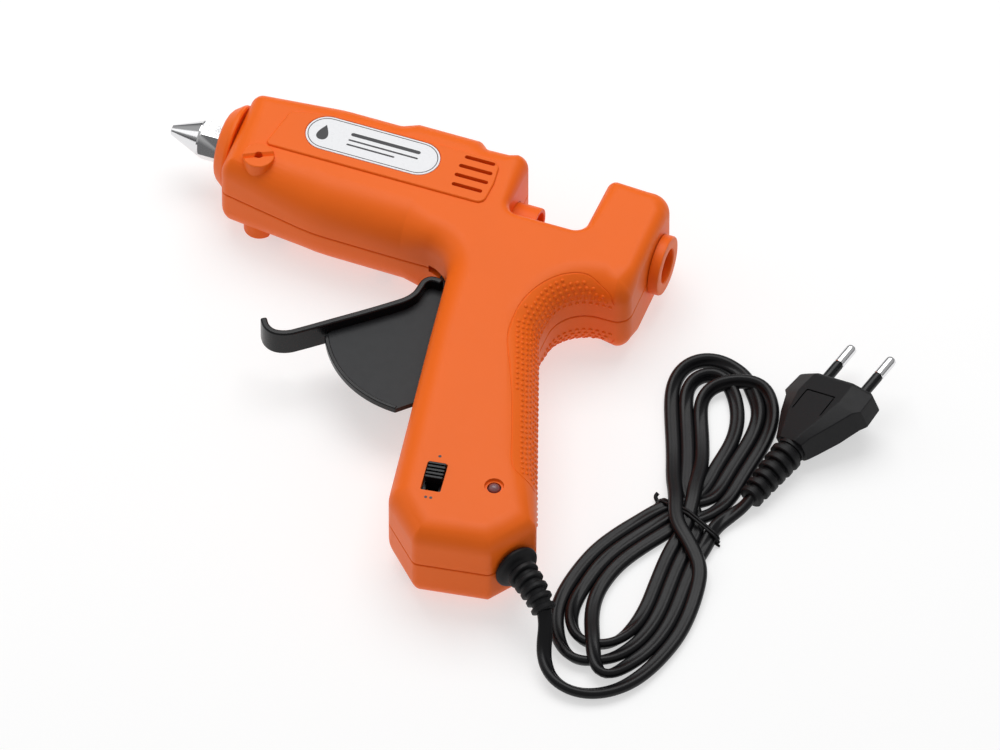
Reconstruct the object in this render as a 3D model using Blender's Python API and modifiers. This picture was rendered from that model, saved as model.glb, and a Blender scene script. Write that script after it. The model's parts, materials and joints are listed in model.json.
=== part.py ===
"""Hot glue gun with its lever, stick feed, melt chamber and mains cord, in metres, +Z up.

The gun lies on its right side. All sizes below are in the gun's own frame, in which
+X runs back along the glue stick, +Y is the gun's top and +Z is its left side, with
the origin on the stick's axis at the rear rim of the feed collar.
"""

import math

import bmesh
import bpy
from mathutils import Matrix, Vector

# ---------------------------------------------------------------- driving sizes
CLEARANCE = 0.0003        # gap between pieces that touch
HALF_WIDTH = 0.018        # mid-plane to the flat of either side
WALL = 0.0022             # thickness of the two moulded halves
STICK_RADIUS = 0.0056     # an 11 mm glue stick

COLLAR_PROUD = 0.004      # the feed collar stands this far out of the rear face
REAR_LENGTH = 0.0245      # rear housing, from its back face to the loading window
WINDOW_LENGTH = 0.029     # the open window where the stick is seen
BARREL_LENGTH = 0.1025    # barrel, from the window to its front face
BODY_TOP = 0.0188
PAD_RISE = 0.0027         # the raised pad on top of the barrel
FRONT_TOP = 0.0142
FRONT_DEPTH = 0.0218
BARREL_DEPTH = 0.0296
REAR_DEPTH = 0.0310
BUTT_FRONT_DEPTH = 0.1598
BUTT_REAR_DEPTH = 0.1558
HANDLE_FRONT_SLOPE = 0.1616
HANDLE_REAR_SLOPE = 0.355
PANEL_RISE = 0.0008       # the side panel's height above the flat

COLLAR_RADIUS = 0.0108
COLLAR_BORE = 0.0063
TUBE_RADIUS = 0.008       # feed carriage
TUBE_BORE = 0.0064
CHAMBER_RADIUS = 0.0095
NOSE_RADIUS = 0.0155
NOSE_TIP_RADIUS = 0.0117
NOSE_LENGTH = 0.006
NOSE_NECK = 0.0096
HEX_ACROSS_FLATS = 0.0132
NOZZLE_REACH = 0.026      # nozzle tip in front of the barrel's front face
NOZZLE_TIP_RADIUS = 0.00175

TRIGGER_ANGLE = math.radians(33.0)
TRIGGER_HALF_WIDTH = 0.0052
TRIGGER_PLATE = 0.0023
WEB_HALF = 0.00105
WEB_CENTRE = (0.0048, -0.0290)        # centre of the web's round edge, from the pivot
WEB_RADIUS = 0.0398
ARM_RISE = 0.016          # pivot to the stick tube's drive pin, measured upwards
PIN_RADIUS = 0.0013
PIVOT_RADIUS = 0.0016

SCREW_RADIUS = 0.00135
SCREW_HEAD_RADIUS = 0.0028
BOSS_RADIUS = 0.0032

CORD_RADIUS = 0.0026      # of the plain tube that stands for the flat twin cord
HANK_HEIGHT = 0.0095
PLUG_PIN_SPACING = 0.0186
PLUG_PIN_LENGTH = 0.019

# ---------------------------------------------------------------- places that follow
REAR_FACE = -COLLAR_PROUD
WINDOW_REAR = REAR_FACE - REAR_LENGTH
WINDOW_FRONT = WINDOW_REAR - WINDOW_LENGTH
BARREL_FRONT = WINDOW_FRONT - BARREL_LENGTH
WINDOW_FLOOR = -(TUBE_RADIUS + 2 * CLEARANCE)
NOZZLE_TIP = BARREL_FRONT - NOZZLE_REACH
BOSS_REACH = HALF_WIDTH + 0.0013       # stand bosses, the widest points of the gun
TABLE = -BOSS_REACH                    # height of the surface that the gun lies on

HANDLE_FRONT = WINDOW_FRONT - 0.0123   # where the grip's front line meets the barrel
HANDLE_REAR = WINDOW_REAR - 0.0001
PIVOT = Vector((WINDOW_FRONT - 0.0125, -(ARM_RISE + TUBE_RADIUS + 0.003), 0.0))
HALF_STROKE = ARM_RISE * math.tan(TRIGGER_ANGLE / 2)
PIN_REST = Vector((PIVOT.x + HALF_STROKE, PIVOT.y + ARM_RISE, 0.0))
TUBE_REAR = WINDOW_FRONT + 0.009
TUBE_FRONT = TUBE_REAR - 0.0355
JAW_PIVOT = Vector((PIN_REST.x - 0.0087, TUBE_RADIUS + 0.0024, 0.0))
CHAMBER_FRONT = BARREL_FRONT + 0.0045
CHAMBER_REAR = BARREL_FRONT + 0.044
SLEEVE_REAR = TUBE_FRONT - 2 * HALF_STROKE - 0.003
SPRING_REAR = PIN_REST.x - 0.0080
SPRING_FRONT = SPRING_REAR - 0.0196
SPRING_Y = PIVOT.y + 0.0122

# ---------------------------------------------------------------- scene and helpers


def clear_scene():
    for obj in list(bpy.data.objects):
        bpy.data.objects.remove(obj, do_unlink=True)
    for group in list(bpy.data.collections):
        bpy.data.collections.remove(group)


clear_scene()
PARTS = bpy.data.collections.new("glue_gun")
CUTTERS = bpy.data.collections.new("cutters")
bpy.context.scene.collection.children.link(PARTS)
bpy.context.scene.collection.children.link(CUTTERS)
MATERIALS = {}


def material(name, colour, roughness, metallic=0.0):
    made = bpy.data.materials.new(name)
    made.use_nodes = True
    shader = made.node_tree.nodes["Principled BSDF"]
    shader.inputs["Base Color"].default_value = (*colour, 1.0)
    shader.inputs["Roughness"].default_value = roughness
    shader.inputs["Metallic"].default_value = metallic
    MATERIALS[name] = made


def frame_empty(name, place, parent=None):
    empty = bpy.data.objects.new(name, None)
    empty.location = place
    empty.parent = parent
    PARTS.objects.link(empty)
    return empty


def add_object(name, data, finish=None):
    obj = bpy.data.objects.new(name, data)
    obj.parent = GUN
    if finish is None:
        CUTTERS.objects.link(obj)
        obj.hide_render = True
        obj.display_type = "WIRE"
    else:
        PARTS.objects.link(obj)
        data.materials.append(MATERIALS[finish])
    return obj


def mesh_from(name, shape, finish=None, smooth=True):
    """Finish a bmesh as an object; a piece without a finish is a cutter."""
    bmesh.ops.recalc_face_normals(shape, faces=shape.faces)
    mesh = bpy.data.meshes.new(name)
    shape.to_mesh(mesh)
    shape.free()
    if smooth:
        mesh.shade_smooth()
        mesh.set_sharp_from_angle(angle=math.radians(35))
    return add_object(name, mesh, finish)


def box(name, low, high, finish=None):
    low = Vector(low)
    high = Vector(high)
    shape = bmesh.new()
    size = Matrix.Diagonal((*(high - low), 1.0))
    bmesh.ops.create_cube(shape, size=1.0, matrix=Matrix.Translation((low + high) / 2) @ size)
    return mesh_from(name, shape, finish, smooth=False)


def rod(name, start, end, radius, finish=None, sides=20, end_radius=None):
    start = Vector(start)
    end = Vector(end)
    along = end - start
    turn = along.to_track_quat("Z", "Y").to_matrix().to_4x4()
    shape = bmesh.new()
    bmesh.ops.create_cone(
        shape, cap_ends=True, segments=sides, radius1=radius,
        radius2=radius if end_radius is None else end_radius, depth=along.length,
        matrix=Matrix.Translation((start + end) / 2) @ turn)
    return mesh_from(name, shape, finish)


def plate(name, outline, z_low, z_high, finish=None):
    """A flat outline in the gun's side plane, given thickness along Z."""
    shape = bmesh.new()
    base = shape.faces.new([shape.verts.new((p[0], p[1], z_low)) for p in outline])
    raised = bmesh.ops.extrude_face_region(shape, geom=[base])["geom"]
    moved = [item for item in raised if isinstance(item, bmesh.types.BMVert)]
    bmesh.ops.translate(shape, verts=moved, vec=(0, 0, z_high - z_low))
    return mesh_from(name, shape, finish)


def turned(name, profile, place, direction, finish=None, steps=32, closed=False):
    """Turn a profile of (radius, distance along direction), outer side first from its far end."""
    mesh = bpy.data.meshes.new(name)
    count = len(profile)
    edges = [(i, i + 1) for i in range(count - 1)]
    if closed:
        edges.append((count - 1, 0))
    mesh.from_pydata([(r, 0, d) for r, d in profile], edges, [])
    obj = add_object(name, mesh, finish)
    obj.location = place
    obj.rotation_euler = Vector(direction).to_track_quat("Z", "Y").to_euler()
    screw = obj.modifiers.new("turn", "SCREW")
    screw.steps = steps
    screw.render_steps = steps
    screw.use_merge_vertices = True
    screw.merge_threshold = 0.00001
    screw.use_smooth_shade = True
    return obj


def tube(name, points, radius, finish, radii=None, resolution=2):
    """A poly curve with round section and filled caps; radii scale the section point by point."""
    curve = bpy.data.curves.new(name, "CURVE")
    curve.dimensions = "3D"
    curve.bevel_depth = radius
    curve.bevel_resolution = resolution
    curve.use_fill_caps = True
    line = curve.splines.new("POLY")
    line.points.add(len(points) - 1)
    for i, point in enumerate(points):
        line.points[i].co = (*point, 1.0)
        line.points[i].radius = 1.0 if radii is None else radii[i] / radius
    return add_object(name, curve, finish)


def boolean(obj, other, operation="DIFFERENCE"):
    step = obj.modifiers.new(operation.lower() + "_" + other.name, "BOOLEAN")
    step.operation = operation
    step.object = other
    step.solver = "EXACT"


def move_origin(obj, origin):
    """Put a mesh object's origin on a joint axis without moving its shape."""
    obj.data.transform(Matrix.Translation(-Vector(origin)))
    obj.location = origin


def turn2(point, angle):
    c = math.cos(angle)
    s = math.sin(angle)
    return (point[0] * c - point[1] * s, point[0] * s + point[1] * c)


def smooth_route(points, spacing, tension=0.5):
    """Points every `spacing` along a smooth curve that passes through the given points."""
    fine = []
    last = len(points) - 1
    for i in range(last):
        p0 = Vector(points[max(i - 1, 0)])
        p1 = Vector(points[i])
        p2 = Vector(points[i + 1])
        p3 = Vector(points[min(i + 2, last)])
        m1 = (p2 - p0) * tension
        m2 = (p3 - p1) * tension
        for k in range(24):
            t = k / 24
            fine.append((2 * t**3 - 3 * t**2 + 1) * p1 + (t**3 - 2 * t**2 + t) * m1
                        + (3 * t**2 - 2 * t**3) * p2 + (t**3 - t**2) * m2)
    fine.append(Vector(points[last]))
    length = sum((b - a).length for a, b in zip(fine, fine[1:]))
    count = max(2, round(length / spacing))
    route = [fine[0]]
    walked = 0.0
    for a, b in zip(fine, fine[1:]):
        step = (b - a).length
        while len(route) < count and walked + step >= length * len(route) / count:
            share = (length * len(route) / count - walked) / step
            route.append(a.lerp(b, share))
        walked += step
    route.append(fine[-1])
    return route


# ---------------------------------------------------------------- the body's outline


def body_corners():
    """Corners of the body's mid-plane outline, anticlockwise: x, y, corner radius, side edge radius."""
    def grip_front(depth):
        return HANDLE_FRONT + (depth - BARREL_DEPTH) * HANDLE_FRONT_SLOPE

    butt = BUTT_FRONT_DEPTH
    waist = REAR_DEPTH + 0.0225
    heel = butt - 0.0205
    heel_x = HANDLE_REAR + (heel - waist) * HANDLE_REAR_SLOPE
    top = BODY_TOP
    pad = BODY_TOP + PAD_RISE
    return [
        (REAR_FACE, -REAR_DEPTH, 0.0055, 0.009),
        (REAR_FACE, -REAR_DEPTH + 0.012, 0, 0.005),
        (REAR_FACE, top - 0.010, 0, 0.005),
        (REAR_FACE, top, 0.0075, 0.0065),
        (REAR_FACE - 0.010, top, 0, 0.008),
        (WINDOW_REAR, top, 0.0035, 0.0045),
        (WINDOW_REAR, WINDOW_FLOOR, 0.0045, 0.0035),
        (WINDOW_FRONT, WINDOW_FLOOR, 0.0045, 0.0035),
        (WINDOW_FRONT, top, 0.005, 0.0045),
        (WINDOW_FRONT - 0.008, top, 0, 0.008),
        (WINDOW_FRONT - 0.0161, top, 0.002, 0.008),
        (WINDOW_FRONT - 0.0191, pad, 0.003, 0.008),
        (WINDOW_FRONT - 0.0430, pad, 0.004, 0.008),
        (WINDOW_FRONT - 0.0485, top, 0.004, 0.008),
        (BARREL_FRONT + 0.032, top, 0.050, 0.008),
        (BARREL_FRONT, FRONT_TOP, 0.0045, 0.0065),
        (BARREL_FRONT, -FRONT_DEPTH, 0.004, 0.0095),
        (BARREL_FRONT + 0.037, -BARREL_DEPTH + 0.0006, 0.060, 0.014),
        (WINDOW_FRONT - 0.032, -BARREL_DEPTH, 0.020, 0.014),
        (HANDLE_FRONT, -BARREL_DEPTH, 0.013, 0.0095),
        (grip_front(0.070), -0.070, 0, 0.008),
        (grip_front(butt - 0.015), -butt + 0.015, 0.009, 0.009),
        (HANDLE_FRONT + 0.0338, -butt, 0.0035, 0.0085),
        (HANDLE_FRONT + 0.0603, -BUTT_REAR_DEPTH, 0.003, 0.0085),
        (heel_x, -heel, 0.003, 0.0085),
        (heel_x - 0.010, -heel + 0.010 / HANDLE_REAR_SLOPE, 0, 0.013),
        (HANDLE_REAR, -waist, 0.012, 0.0135),
        (HANDLE_REAR, -REAR_DEPTH, 0.014, 0.011),
    ]


def corner_arc(before, here, after, inset, facet):
    """Points round one corner of an outline that is moved inwards by `inset`."""
    p = Vector(here[:2])
    d1 = (p - Vector(before[:2])).normalized()
    d2 = (Vector(after[:2]) - p).normalized()
    n1 = Vector((-d1.y, d1.x))
    n2 = Vector((-d2.y, d2.x))
    mitre = (n1 + n2) / (1 + n1.dot(n2))
    turn = math.atan2(d1.x * d2.y - d1.y * d2.x, d1.dot(d2))
    centre_line = p + mitre * inset
    if here[2] == 0 or abs(turn) < 0.01:
        return [centre_line]
    bulge = 1.0 if turn > 0 else -1.0
    radius = max(here[2] - inset * bulge, 0.0)
    centre = centre_line + mitre * radius * bulge
    reach = n1 * -radius * bulge
    count = max(1, math.ceil(abs(turn) / facet))
    points = []
    for k in range(count + 1):
        points.append(centre + Vector(turn2(reach, turn * k / count)))
    return points


def body_half(name, side, shrink, start, finish=None, facet=math.radians(45), rings=2):
    """One half of the body as a closed solid, moved inwards by `shrink` from the outer surface."""
    corners = body_corners()
    count = len(corners)
    levels = [None] + [math.pi / 2 * k / rings for k in range(rings + 1)]
    shape = bmesh.new()
    loops = []
    for level in levels:
        loop = []
        for i, here in enumerate(corners):
            edge = here[3]
            if level is None:
                inset = shrink
                height = start
            else:
                inset = edge - (edge - shrink) * math.cos(level)
                height = HALF_WIDTH - edge + (edge - shrink) * math.sin(level)
            for p in corner_arc(corners[i - 1], here, corners[(i + 1) % count], inset, facet):
                loop.append(shape.verts.new((p.x, p.y, side * height)))
        loops.append(loop)
    size = len(loops[0])
    for lower, upper in zip(loops, loops[1:]):
        for i in range(size):
            j = (i + 1) % size
            shape.faces.new((lower[i], lower[j], upper[j], upper[i]))
    shape.faces.new(loops[0])
    shape.faces.new(loops[-1])
    bmesh.ops.remove_doubles(shape, verts=shape.verts, dist=0.00002)
    bmesh.ops.dissolve_degenerate(shape, edges=shape.edges, dist=0.00001)
    return mesh_from(name, shape, finish)


def slice_of_body(name, side, low, high):
    """A rib: the stretch of one half's inside between two corners of a box, keyed into the wall."""
    rib = box(name, low, high)
    core = body_half(name + "_core", side, WALL / 2, CLEARANCE / 2)
    boolean(rib, core, "INTERSECT")
    return rib


# ---------------------------------------------------------------- finishes and frame
material("orange_plastic", (0.88, 0.17, 0.025), 0.42)
material("black_plastic", (0.012, 0.012, 0.013), 0.38)
material("chrome", (0.75, 0.75, 0.76), 0.12, 1.0)
material("aluminium", (0.62, 0.63, 0.65), 0.35, 1.0)
material("spring_steel", (0.5, 0.5, 0.52), 0.3, 1.0)
material("silicone", (0.55, 0.09, 0.05), 0.6)
material("white_print", (0.88, 0.88, 0.9), 0.35)
material("ceramic", (0.8, 0.78, 0.72), 0.7)
material("lamp", (0.16, 0.07, 0.08), 0.15)
material("cord", (0.01, 0.01, 0.011), 0.5)
material("nylon", (0.7, 0.7, 0.66), 0.5)
material("wire_blue", (0.05, 0.12, 0.5), 0.45)
material("wire_brown", (0.14, 0.05, 0.02), 0.45)
material("wire_white", (0.75, 0.74, 0.7), 0.7)

GUN = frame_empty("gun_axis", (-(NOZZLE_TIP + 0.0017) / 2, (BUTT_FRONT_DEPTH - BODY_TOP - PAD_RISE) / 2, -TABLE))

# ---------------------------------------------------------------- the two halves
SCREW_PLACES = [
    (BARREL_FRONT + 0.0215, -0.0195),
    (BARREL_FRONT + 0.0380, BODY_TOP - 0.0055),
    (WINDOW_FRONT - 0.0400, -BARREL_DEPTH + 0.0075),
    (WINDOW_FRONT - 0.0052, BODY_TOP - 0.0053),
    (WINDOW_REAR + 0.0065, BODY_TOP - 0.0056),
    (REAR_FACE - 0.0085, -REAR_DEPTH + 0.0080),
    (HANDLE_REAR - 0.0105, -REAR_DEPTH - 0.0075),
    (HANDLE_FRONT + 0.0245, -BUTT_FRONT_DEPTH + 0.0560),
    (HANDLE_FRONT + 0.0285, -BUTT_FRONT_DEPTH + 0.0105),
]
HEAD_SEAT = 0.0085        # height of the screw heads' seats from the mid-plane
STAND = Vector((BARREL_FRONT + 0.013, -0.0165, 0))
VENT_HEIGHTS = [0.0082, 0.00375, -0.0007, -0.00515]
LABEL = Vector((WINDOW_FRONT - 0.0535, 0.0018, 0))
SWITCH = Vector((HANDLE_FRONT + 0.0320, -BUTT_FRONT_DEPTH + 0.0256, 0))
LAMP = Vector((HANDLE_FRONT + 0.0530, -BUTT_FRONT_DEPTH + 0.0289, 0))
SWITCH_LEAN = math.radians(8)
RELIEF_FACE = Vector((HANDLE_FRONT + 0.0665, -BUTT_FRONT_DEPTH + 0.0122, 0))
RELIEF_OUT = Vector((0.813, -0.582, 0))


def rounded_strip(centre, length, width, ends=6):
    """Outline of a strip with round ends along X."""
    points = []
    for side in (1, -1):
        for k in range(ends + 1):
            angle = -math.pi / 2 + math.pi * k / ends
            x = side * (length - width) / 2 + side * width / 2 * math.cos(angle)
            points.append((centre[0] + x, centre[1] + side * width / 2 * math.sin(angle)))
    return points


def rounded_box(centre, length, width, corner, lean=0.0, steps=3):
    """Outline of a rectangle along Y with rounded corners, leaning about its centre."""
    points = []
    for quarter in range(4):
        sx = (1, -1, -1, 1)[quarter]
        sy = (1, 1, -1, -1)[quarter]
        for k in range(steps + 1):
            angle = math.pi / 2 * (quarter + k / steps)
            x = sx * (width / 2 - corner) + corner * math.cos(angle)
            y = sy * (length / 2 - corner) + corner * math.sin(angle)
            p = turn2((x, y), lean)
            points.append((centre[0] + p[0], centre[1] + p[1]))
    return points


def panel_outline():
    """The raised side panel: straight below, curved at its rear, open to the barrel's top."""
    low = -0.0101
    high = BODY_TOP - 0.0082
    rear = WINDOW_FRONT - 0.0078
    front = BARREL_FRONT + 0.013
    points = [(front, low + 0.0012), (front + 0.0012, low)]
    for k in range(5):
        angle = math.radians(-90 + 22.5 * k)
        points.append((rear - 0.003 + 0.003 * math.cos(angle), low + 0.003 + 0.003 * math.sin(angle)))
    points += [(rear + 0.0004, 0.0), (rear - 0.0006, high - 0.003), (rear - 0.003, high)]
    points += [(front + 0.016, high), (front + 0.003, high - 0.0035)]
    return points


def trigger_mouth(name):
    """The wide opening under the barrel that the lever swings through."""
    outline = [
        (PIVOT.x - 0.0135, PIVOT.y + 0.0035), (PIVOT.x - 0.0135, PIVOT.y - 0.012),
        (PIVOT.x + 0.0015, PIVOT.y - 0.034), (PIVOT.x + 0.0068, PIVOT.y - 0.034),
        (PIVOT.x + 0.0068, PIVOT.y + 0.0035)]
    half = TRIGGER_HALF_WIDTH + 2 * CLEARANCE
    return plate(name, outline, -half, half)


def web_slot(name):
    """The narrow slot down the grip's front for the lever's web."""
    low = PIVOT.y - math.hypot(*WEB_CENTRE) - WEB_RADIUS - 2 * CLEARANCE
    outline = [
        (PIVOT.x - 0.006, PIVOT.y - 0.012), (PIVOT.x + 0.005, low),
        (PIVOT.x + 0.0165, low), (PIVOT.x + 0.012, PIVOT.y - 0.012)]
    half = WEB_HALF + 2 * CLEARANCE
    return plate(name, outline, -half, half)


def half_shell(name, side):
    shell = body_half(name, side, 0.0, CLEARANCE / 2, "orange_plastic", math.radians(26), 3)
    inside = body_half(name + "_inside", side, WALL, -0.001, None, math.radians(32), 3)
    boolean(shell, inside)

    deep = HALF_WIDTH - 0.0005
    for i, (x, y) in enumerate(SCREW_PLACES):
        radius = BOSS_RADIUS if side > 0 else BOSS_RADIUS + 0.0007
        boss = rod(f"{name}_boss_{i + 1}", (x, y, side * CLEARANCE / 2), (x, y, side * deep), radius, sides=12)
        core = body_half(f"{name}_boss_core_{i + 1}", side, WALL / 2, CLEARANCE / 2)
        boolean(boss, core, "INTERSECT")
        boolean(shell, boss, "UNION")

    gap = CLEARANCE
    ribs = {
        "front_saddle": ((CHAMBER_FRONT + 0.006, -0.05, CLEARANCE / 2), (CHAMBER_FRONT + 0.008, 0.05, deep)),
        "rear_saddle": ((CHAMBER_REAR - 0.006, -0.05, CLEARANCE / 2), (CHAMBER_REAR - 0.004, 0.05, deep)),
        "spring_wall": ((SPRING_FRONT - 0.0022, -0.05, CLEARANCE / 2), (SPRING_FRONT - gap, 0.05, deep)),
    }
    for rib_name, (low, high) in ribs.items():
        corners = [Vector(low), Vector(high)]
        if side < 0:
            corners = [Vector((low[0], low[1], -high[2])), Vector((high[0], high[1], -low[2]))]
        rib = slice_of_body(f"{name}_{rib_name}", side, corners[0], corners[1])
        boolean(shell, rib, "UNION")
    pivot_boss = rod(name + "_pivot_boss", (PIVOT.x, PIVOT.y, side * (TRIGGER_HALF_WIDTH + gap)),
                     (PIVOT.x, PIVOT.y, side * (HALF_WIDTH - WALL / 2)), 0.0042, sides=16)
    boolean(shell, pivot_boss, "UNION")
    stand = rod(name + "_stand_boss", (STAND.x, STAND.y, side * 0.010), (STAND.x, STAND.y, side * BOSS_REACH),
                0.0052, sides=20, end_radius=0.0055)
    boolean(shell, stand, "UNION")
    panel = plate(name + "_panel", panel_outline(), min(side * 0.017, side * (HALF_WIDTH + PANEL_RISE)),
                  max(side * 0.017, side * (HALF_WIDTH + PANEL_RISE)))
    boolean(shell, panel, "UNION")

    cuts = [
        rod(name + "_chamber_way", (CHAMBER_FRONT + 0.001, 0, 0), (TUBE_FRONT, 0, 0), CHAMBER_RADIUS + gap, sides=32),
        rod(name + "_nose_hole", (BARREL_FRONT - 0.002, 0, 0), (BARREL_FRONT + 0.004, 0, 0), NOSE_NECK + gap, sides=28),
        rod(name + "_tube_hole", (WINDOW_FRONT - 0.004, 0, 0), (WINDOW_FRONT + 0.006, 0, 0),
            TUBE_RADIUS + gap, sides=28),
        rod(name + "_stick_hole", (WINDOW_REAR - 0.002, 0, 0), (WINDOW_REAR + 0.004, 0, 0),
            COLLAR_BORE + gap, sides=32),
        rod(name + "_collar_hole", (REAR_FACE - 0.004, 0, 0), (REAR_FACE + 0.002, 0, 0),
            0.0090 + gap, sides=32),
        trigger_mouth(name + "_trigger_mouth"),
        web_slot(name + "_web_slot"),
        rod(name + "_pivot_hole", (PIVOT.x, PIVOT.y, 0), (PIVOT.x, PIVOT.y, side * 0.0135),
            PIVOT_RADIUS + gap, sides=16),
        rod(name + "_relief_hole", RELIEF_FACE - RELIEF_OUT * 0.008, RELIEF_FACE + RELIEF_OUT * 0.006,
            0.0044 + gap, sides=20),
        rod(name + "_stand_socket", (STAND.x, STAND.y, side * (BOSS_REACH - 0.0065)),
            (STAND.x, STAND.y, side * (BOSS_REACH + 0.002)), 0.0015, sides=12),
        box(name + "_heater_room", (CHAMBER_FRONT + 0.012, -0.0160, -0.0070), (CHAMBER_REAR - 0.002, 0, 0.0070)),
    ]
    outward = [side * (HALF_WIDTH - WALL - 0.002), side * (HALF_WIDTH + 0.004)]
    z_low, z_high = min(outward), max(outward)
    for i, y in enumerate(VENT_HEIGHTS):
        length = 0.0125 if i in (1, 2) else 0.0114
        slot = plate(f"{name}_vent_{i + 1}", rounded_strip((WINDOW_FRONT - 0.0157, y), length, 0.0016, 4),
                     z_low, z_high)
        cuts.append(slot)
    surface = HALF_WIDTH + PANEL_RISE
    recess = sorted((side * (surface - 0.0006), side * (surface + 0.003)))
    cuts.append(plate(name + "_label_recess", rounded_strip(LABEL, 0.0501, 0.0160, 8), recess[0], recess[1]))
    if side > 0:
        cuts.append(plate(name + "_switch_window",
                          rounded_box(SWITCH, 0.0130, 0.0072, 0.0006, SWITCH_LEAN), z_low, z_high))
        cuts.append(rod(name + "_lamp_hole", (LAMP.x, LAMP.y, z_low), (LAMP.x, LAMP.y, z_high), 0.0025, sides=20))
        cuts.append(rod(name + "_lamp_dish", (LAMP.x, LAMP.y, HALF_WIDTH - 0.0011),
                        (LAMP.x, LAMP.y, HALF_WIDTH + 0.002), 0.0033, sides=20, end_radius=0.0036))
        for i, (x, y) in enumerate(SCREW_PLACES):
            cuts.append(rod(f"{name}_pilot_{i + 1}", (x, y, -0.001), (x, y, 0.0095),
                            SCREW_RADIUS + gap, sides=12))
    else:
        for i, (x, y) in enumerate(SCREW_PLACES):
            cuts.append(rod(f"{name}_shank_hole_{i + 1}", (x, y, 0.001), (x, y, -HEAD_SEAT - 0.001),
                            SCREW_RADIUS + gap, sides=12))
            cuts.append(rod(f"{name}_head_hole_{i + 1}", (x, y, -HEAD_SEAT), (x, y, -0.0210),
                            SCREW_HEAD_RADIUS + gap, sides=16))
    for cut in cuts:
        boolean(shell, cut)


def screws():
    """Round-headed screws that draw the halves together from the right side."""
    for i, (x, y) in enumerate(SCREW_PLACES):
        profile = [
            (0, 0.0020), (0.0016, 0.0019), (0.0025, 0.0012), (SCREW_HEAD_RADIUS, 0.0),
            (SCREW_RADIUS, 0.0), (SCREW_RADIUS, -0.0155), (0.0006, -0.0170), (0, -0.0170)]
        turned(f"case_screw_{i + 1}", profile, (x, y, -HEAD_SEAT - CLEARANCE), (0, 0, -1), "spring_steel", steps=12)


def labels():
    for name, side in (("label_left", 1), ("label_right", -1)):
        surface = HALF_WIDTH + PANEL_RISE
        span = sorted((side * (surface - 0.0006 + CLEARANCE), side * (surface + 0.0002)))
        plate(name, rounded_strip(LABEL, 0.0495, 0.0154, 10), span[0], span[1], "white_print")


# ---------------------------------------------------------------- melt end


def melt_end():
    front = NOZZLE_TIP
    hex_rear = BARREL_FRONT + 0.0002
    hex_front = front + 0.0118
    corner = HEX_ACROSS_FLATS / 2 / math.cos(math.radians(30))
    nozzle = rod("nozzle", (hex_rear, 0, 0), (hex_front, 0, 0), corner, "chrome", sides=6)
    cone = rod("nozzle_cone", (hex_front + 0.0008, 0, 0), (front, 0, 0), HEX_ACROSS_FLATS / 2 + 0.0002,
               sides=24, end_radius=NOZZLE_TIP_RADIUS)
    neck = rod("nozzle_bore", (front - 0.001, 0, 0), (hex_rear + 0.001, 0, 0), 0.0009, sides=12, end_radius=0.0022)
    seat = rod("nozzle_thread_hole", (hex_rear - 0.007, 0, 0), (hex_rear + 0.001, 0, 0), 0.0042 + CLEARANCE, sides=20)
    boolean(nozzle, cone, "UNION")
    boolean(nozzle, neck)
    boolean(nozzle, seat)

    bore = COLLAR_BORE - 0.0001
    rear = CHAMBER_REAR
    start = CHAMBER_FRONT
    turned("melt_chamber", [
        (0.0042, start - 0.0100), (0.0042, start), (CHAMBER_RADIUS, start), (CHAMBER_RADIUS, rear),
        (bore, rear), (bore, start + 0.022), (0.0026, start + 0.006), (0.0024, start - 0.0100)][::-1],
        (0, 0, 0), (1, 0, 0), "aluminium", steps=28, closed=True)

    ring_bore = corner + 0.0006
    wall = WALL + CLEARANCE
    face = BARREL_FRONT - CLEARANCE
    turned("nose_ring", [
        (ring_bore, face + wall + 0.0018), (0.0113, face + wall + 0.0018), (0.0113, face + wall + CLEARANCE),
        (NOSE_NECK, face + wall + CLEARANCE), (NOSE_NECK, face), (NOSE_RADIUS, face),
        (NOSE_RADIUS - 0.0004, face - 0.0018),
        (NOSE_TIP_RADIUS + 0.0012, face - 0.0048), (NOSE_TIP_RADIUS - 0.0008, face - NOSE_LENGTH + CLEARANCE),
        (ring_bore, face - NOSE_LENGTH + CLEARANCE)],
        (0, 0, 0), (1, 0, 0), "orange_plastic", steps=32, closed=True)

    heater_top = -CHAMBER_RADIUS - CLEARANCE
    box("heater_element", (start + 0.014, heater_top - 0.0032, -0.0045), (rear - 0.008, heater_top, 0.0045), "ceramic")
    inner = CHAMBER_RADIUS + CLEARANCE
    outline = []
    for k in range(13):
        angle = math.radians(-25 + 230 * k / 12)
        outline.append((inner * math.cos(angle), inner * math.sin(angle)))
    low = heater_top - 0.0032 - CLEARANCE
    outline += [(-0.0055, low), (0.0055, low)]
    thick = 0.0007
    grown = [(x * (1 + thick / inner), y * (1 + thick / inner)) for x, y in outline[:13]]
    grown += [(-0.0055 - thick, low - thick), (0.0055 + thick, low - thick)]
    extruded_ring("heater_clip", outline, grown, start + 0.019, start + 0.031, "spring_steel")


def extruded_ring(name, inner, outer, x_front, x_rear, finish):
    """A band of even thickness round the stick's axis, from two matching outlines in Z and Y."""
    shape = bmesh.new()
    count = len(inner)
    rows = []
    for outline in (inner, outer):
        for x in (x_front, x_rear):
            rows.append([shape.verts.new((x, p[1], p[0])) for p in outline])
    for a, b in ((0, 1), (1, 3), (3, 2), (2, 0)):
        for i in range(count):
            j = (i + 1) % count
            shape.faces.new((rows[a][i], rows[a][j], rows[b][j], rows[b][i]))
    return mesh_from(name, shape, finish)


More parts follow.
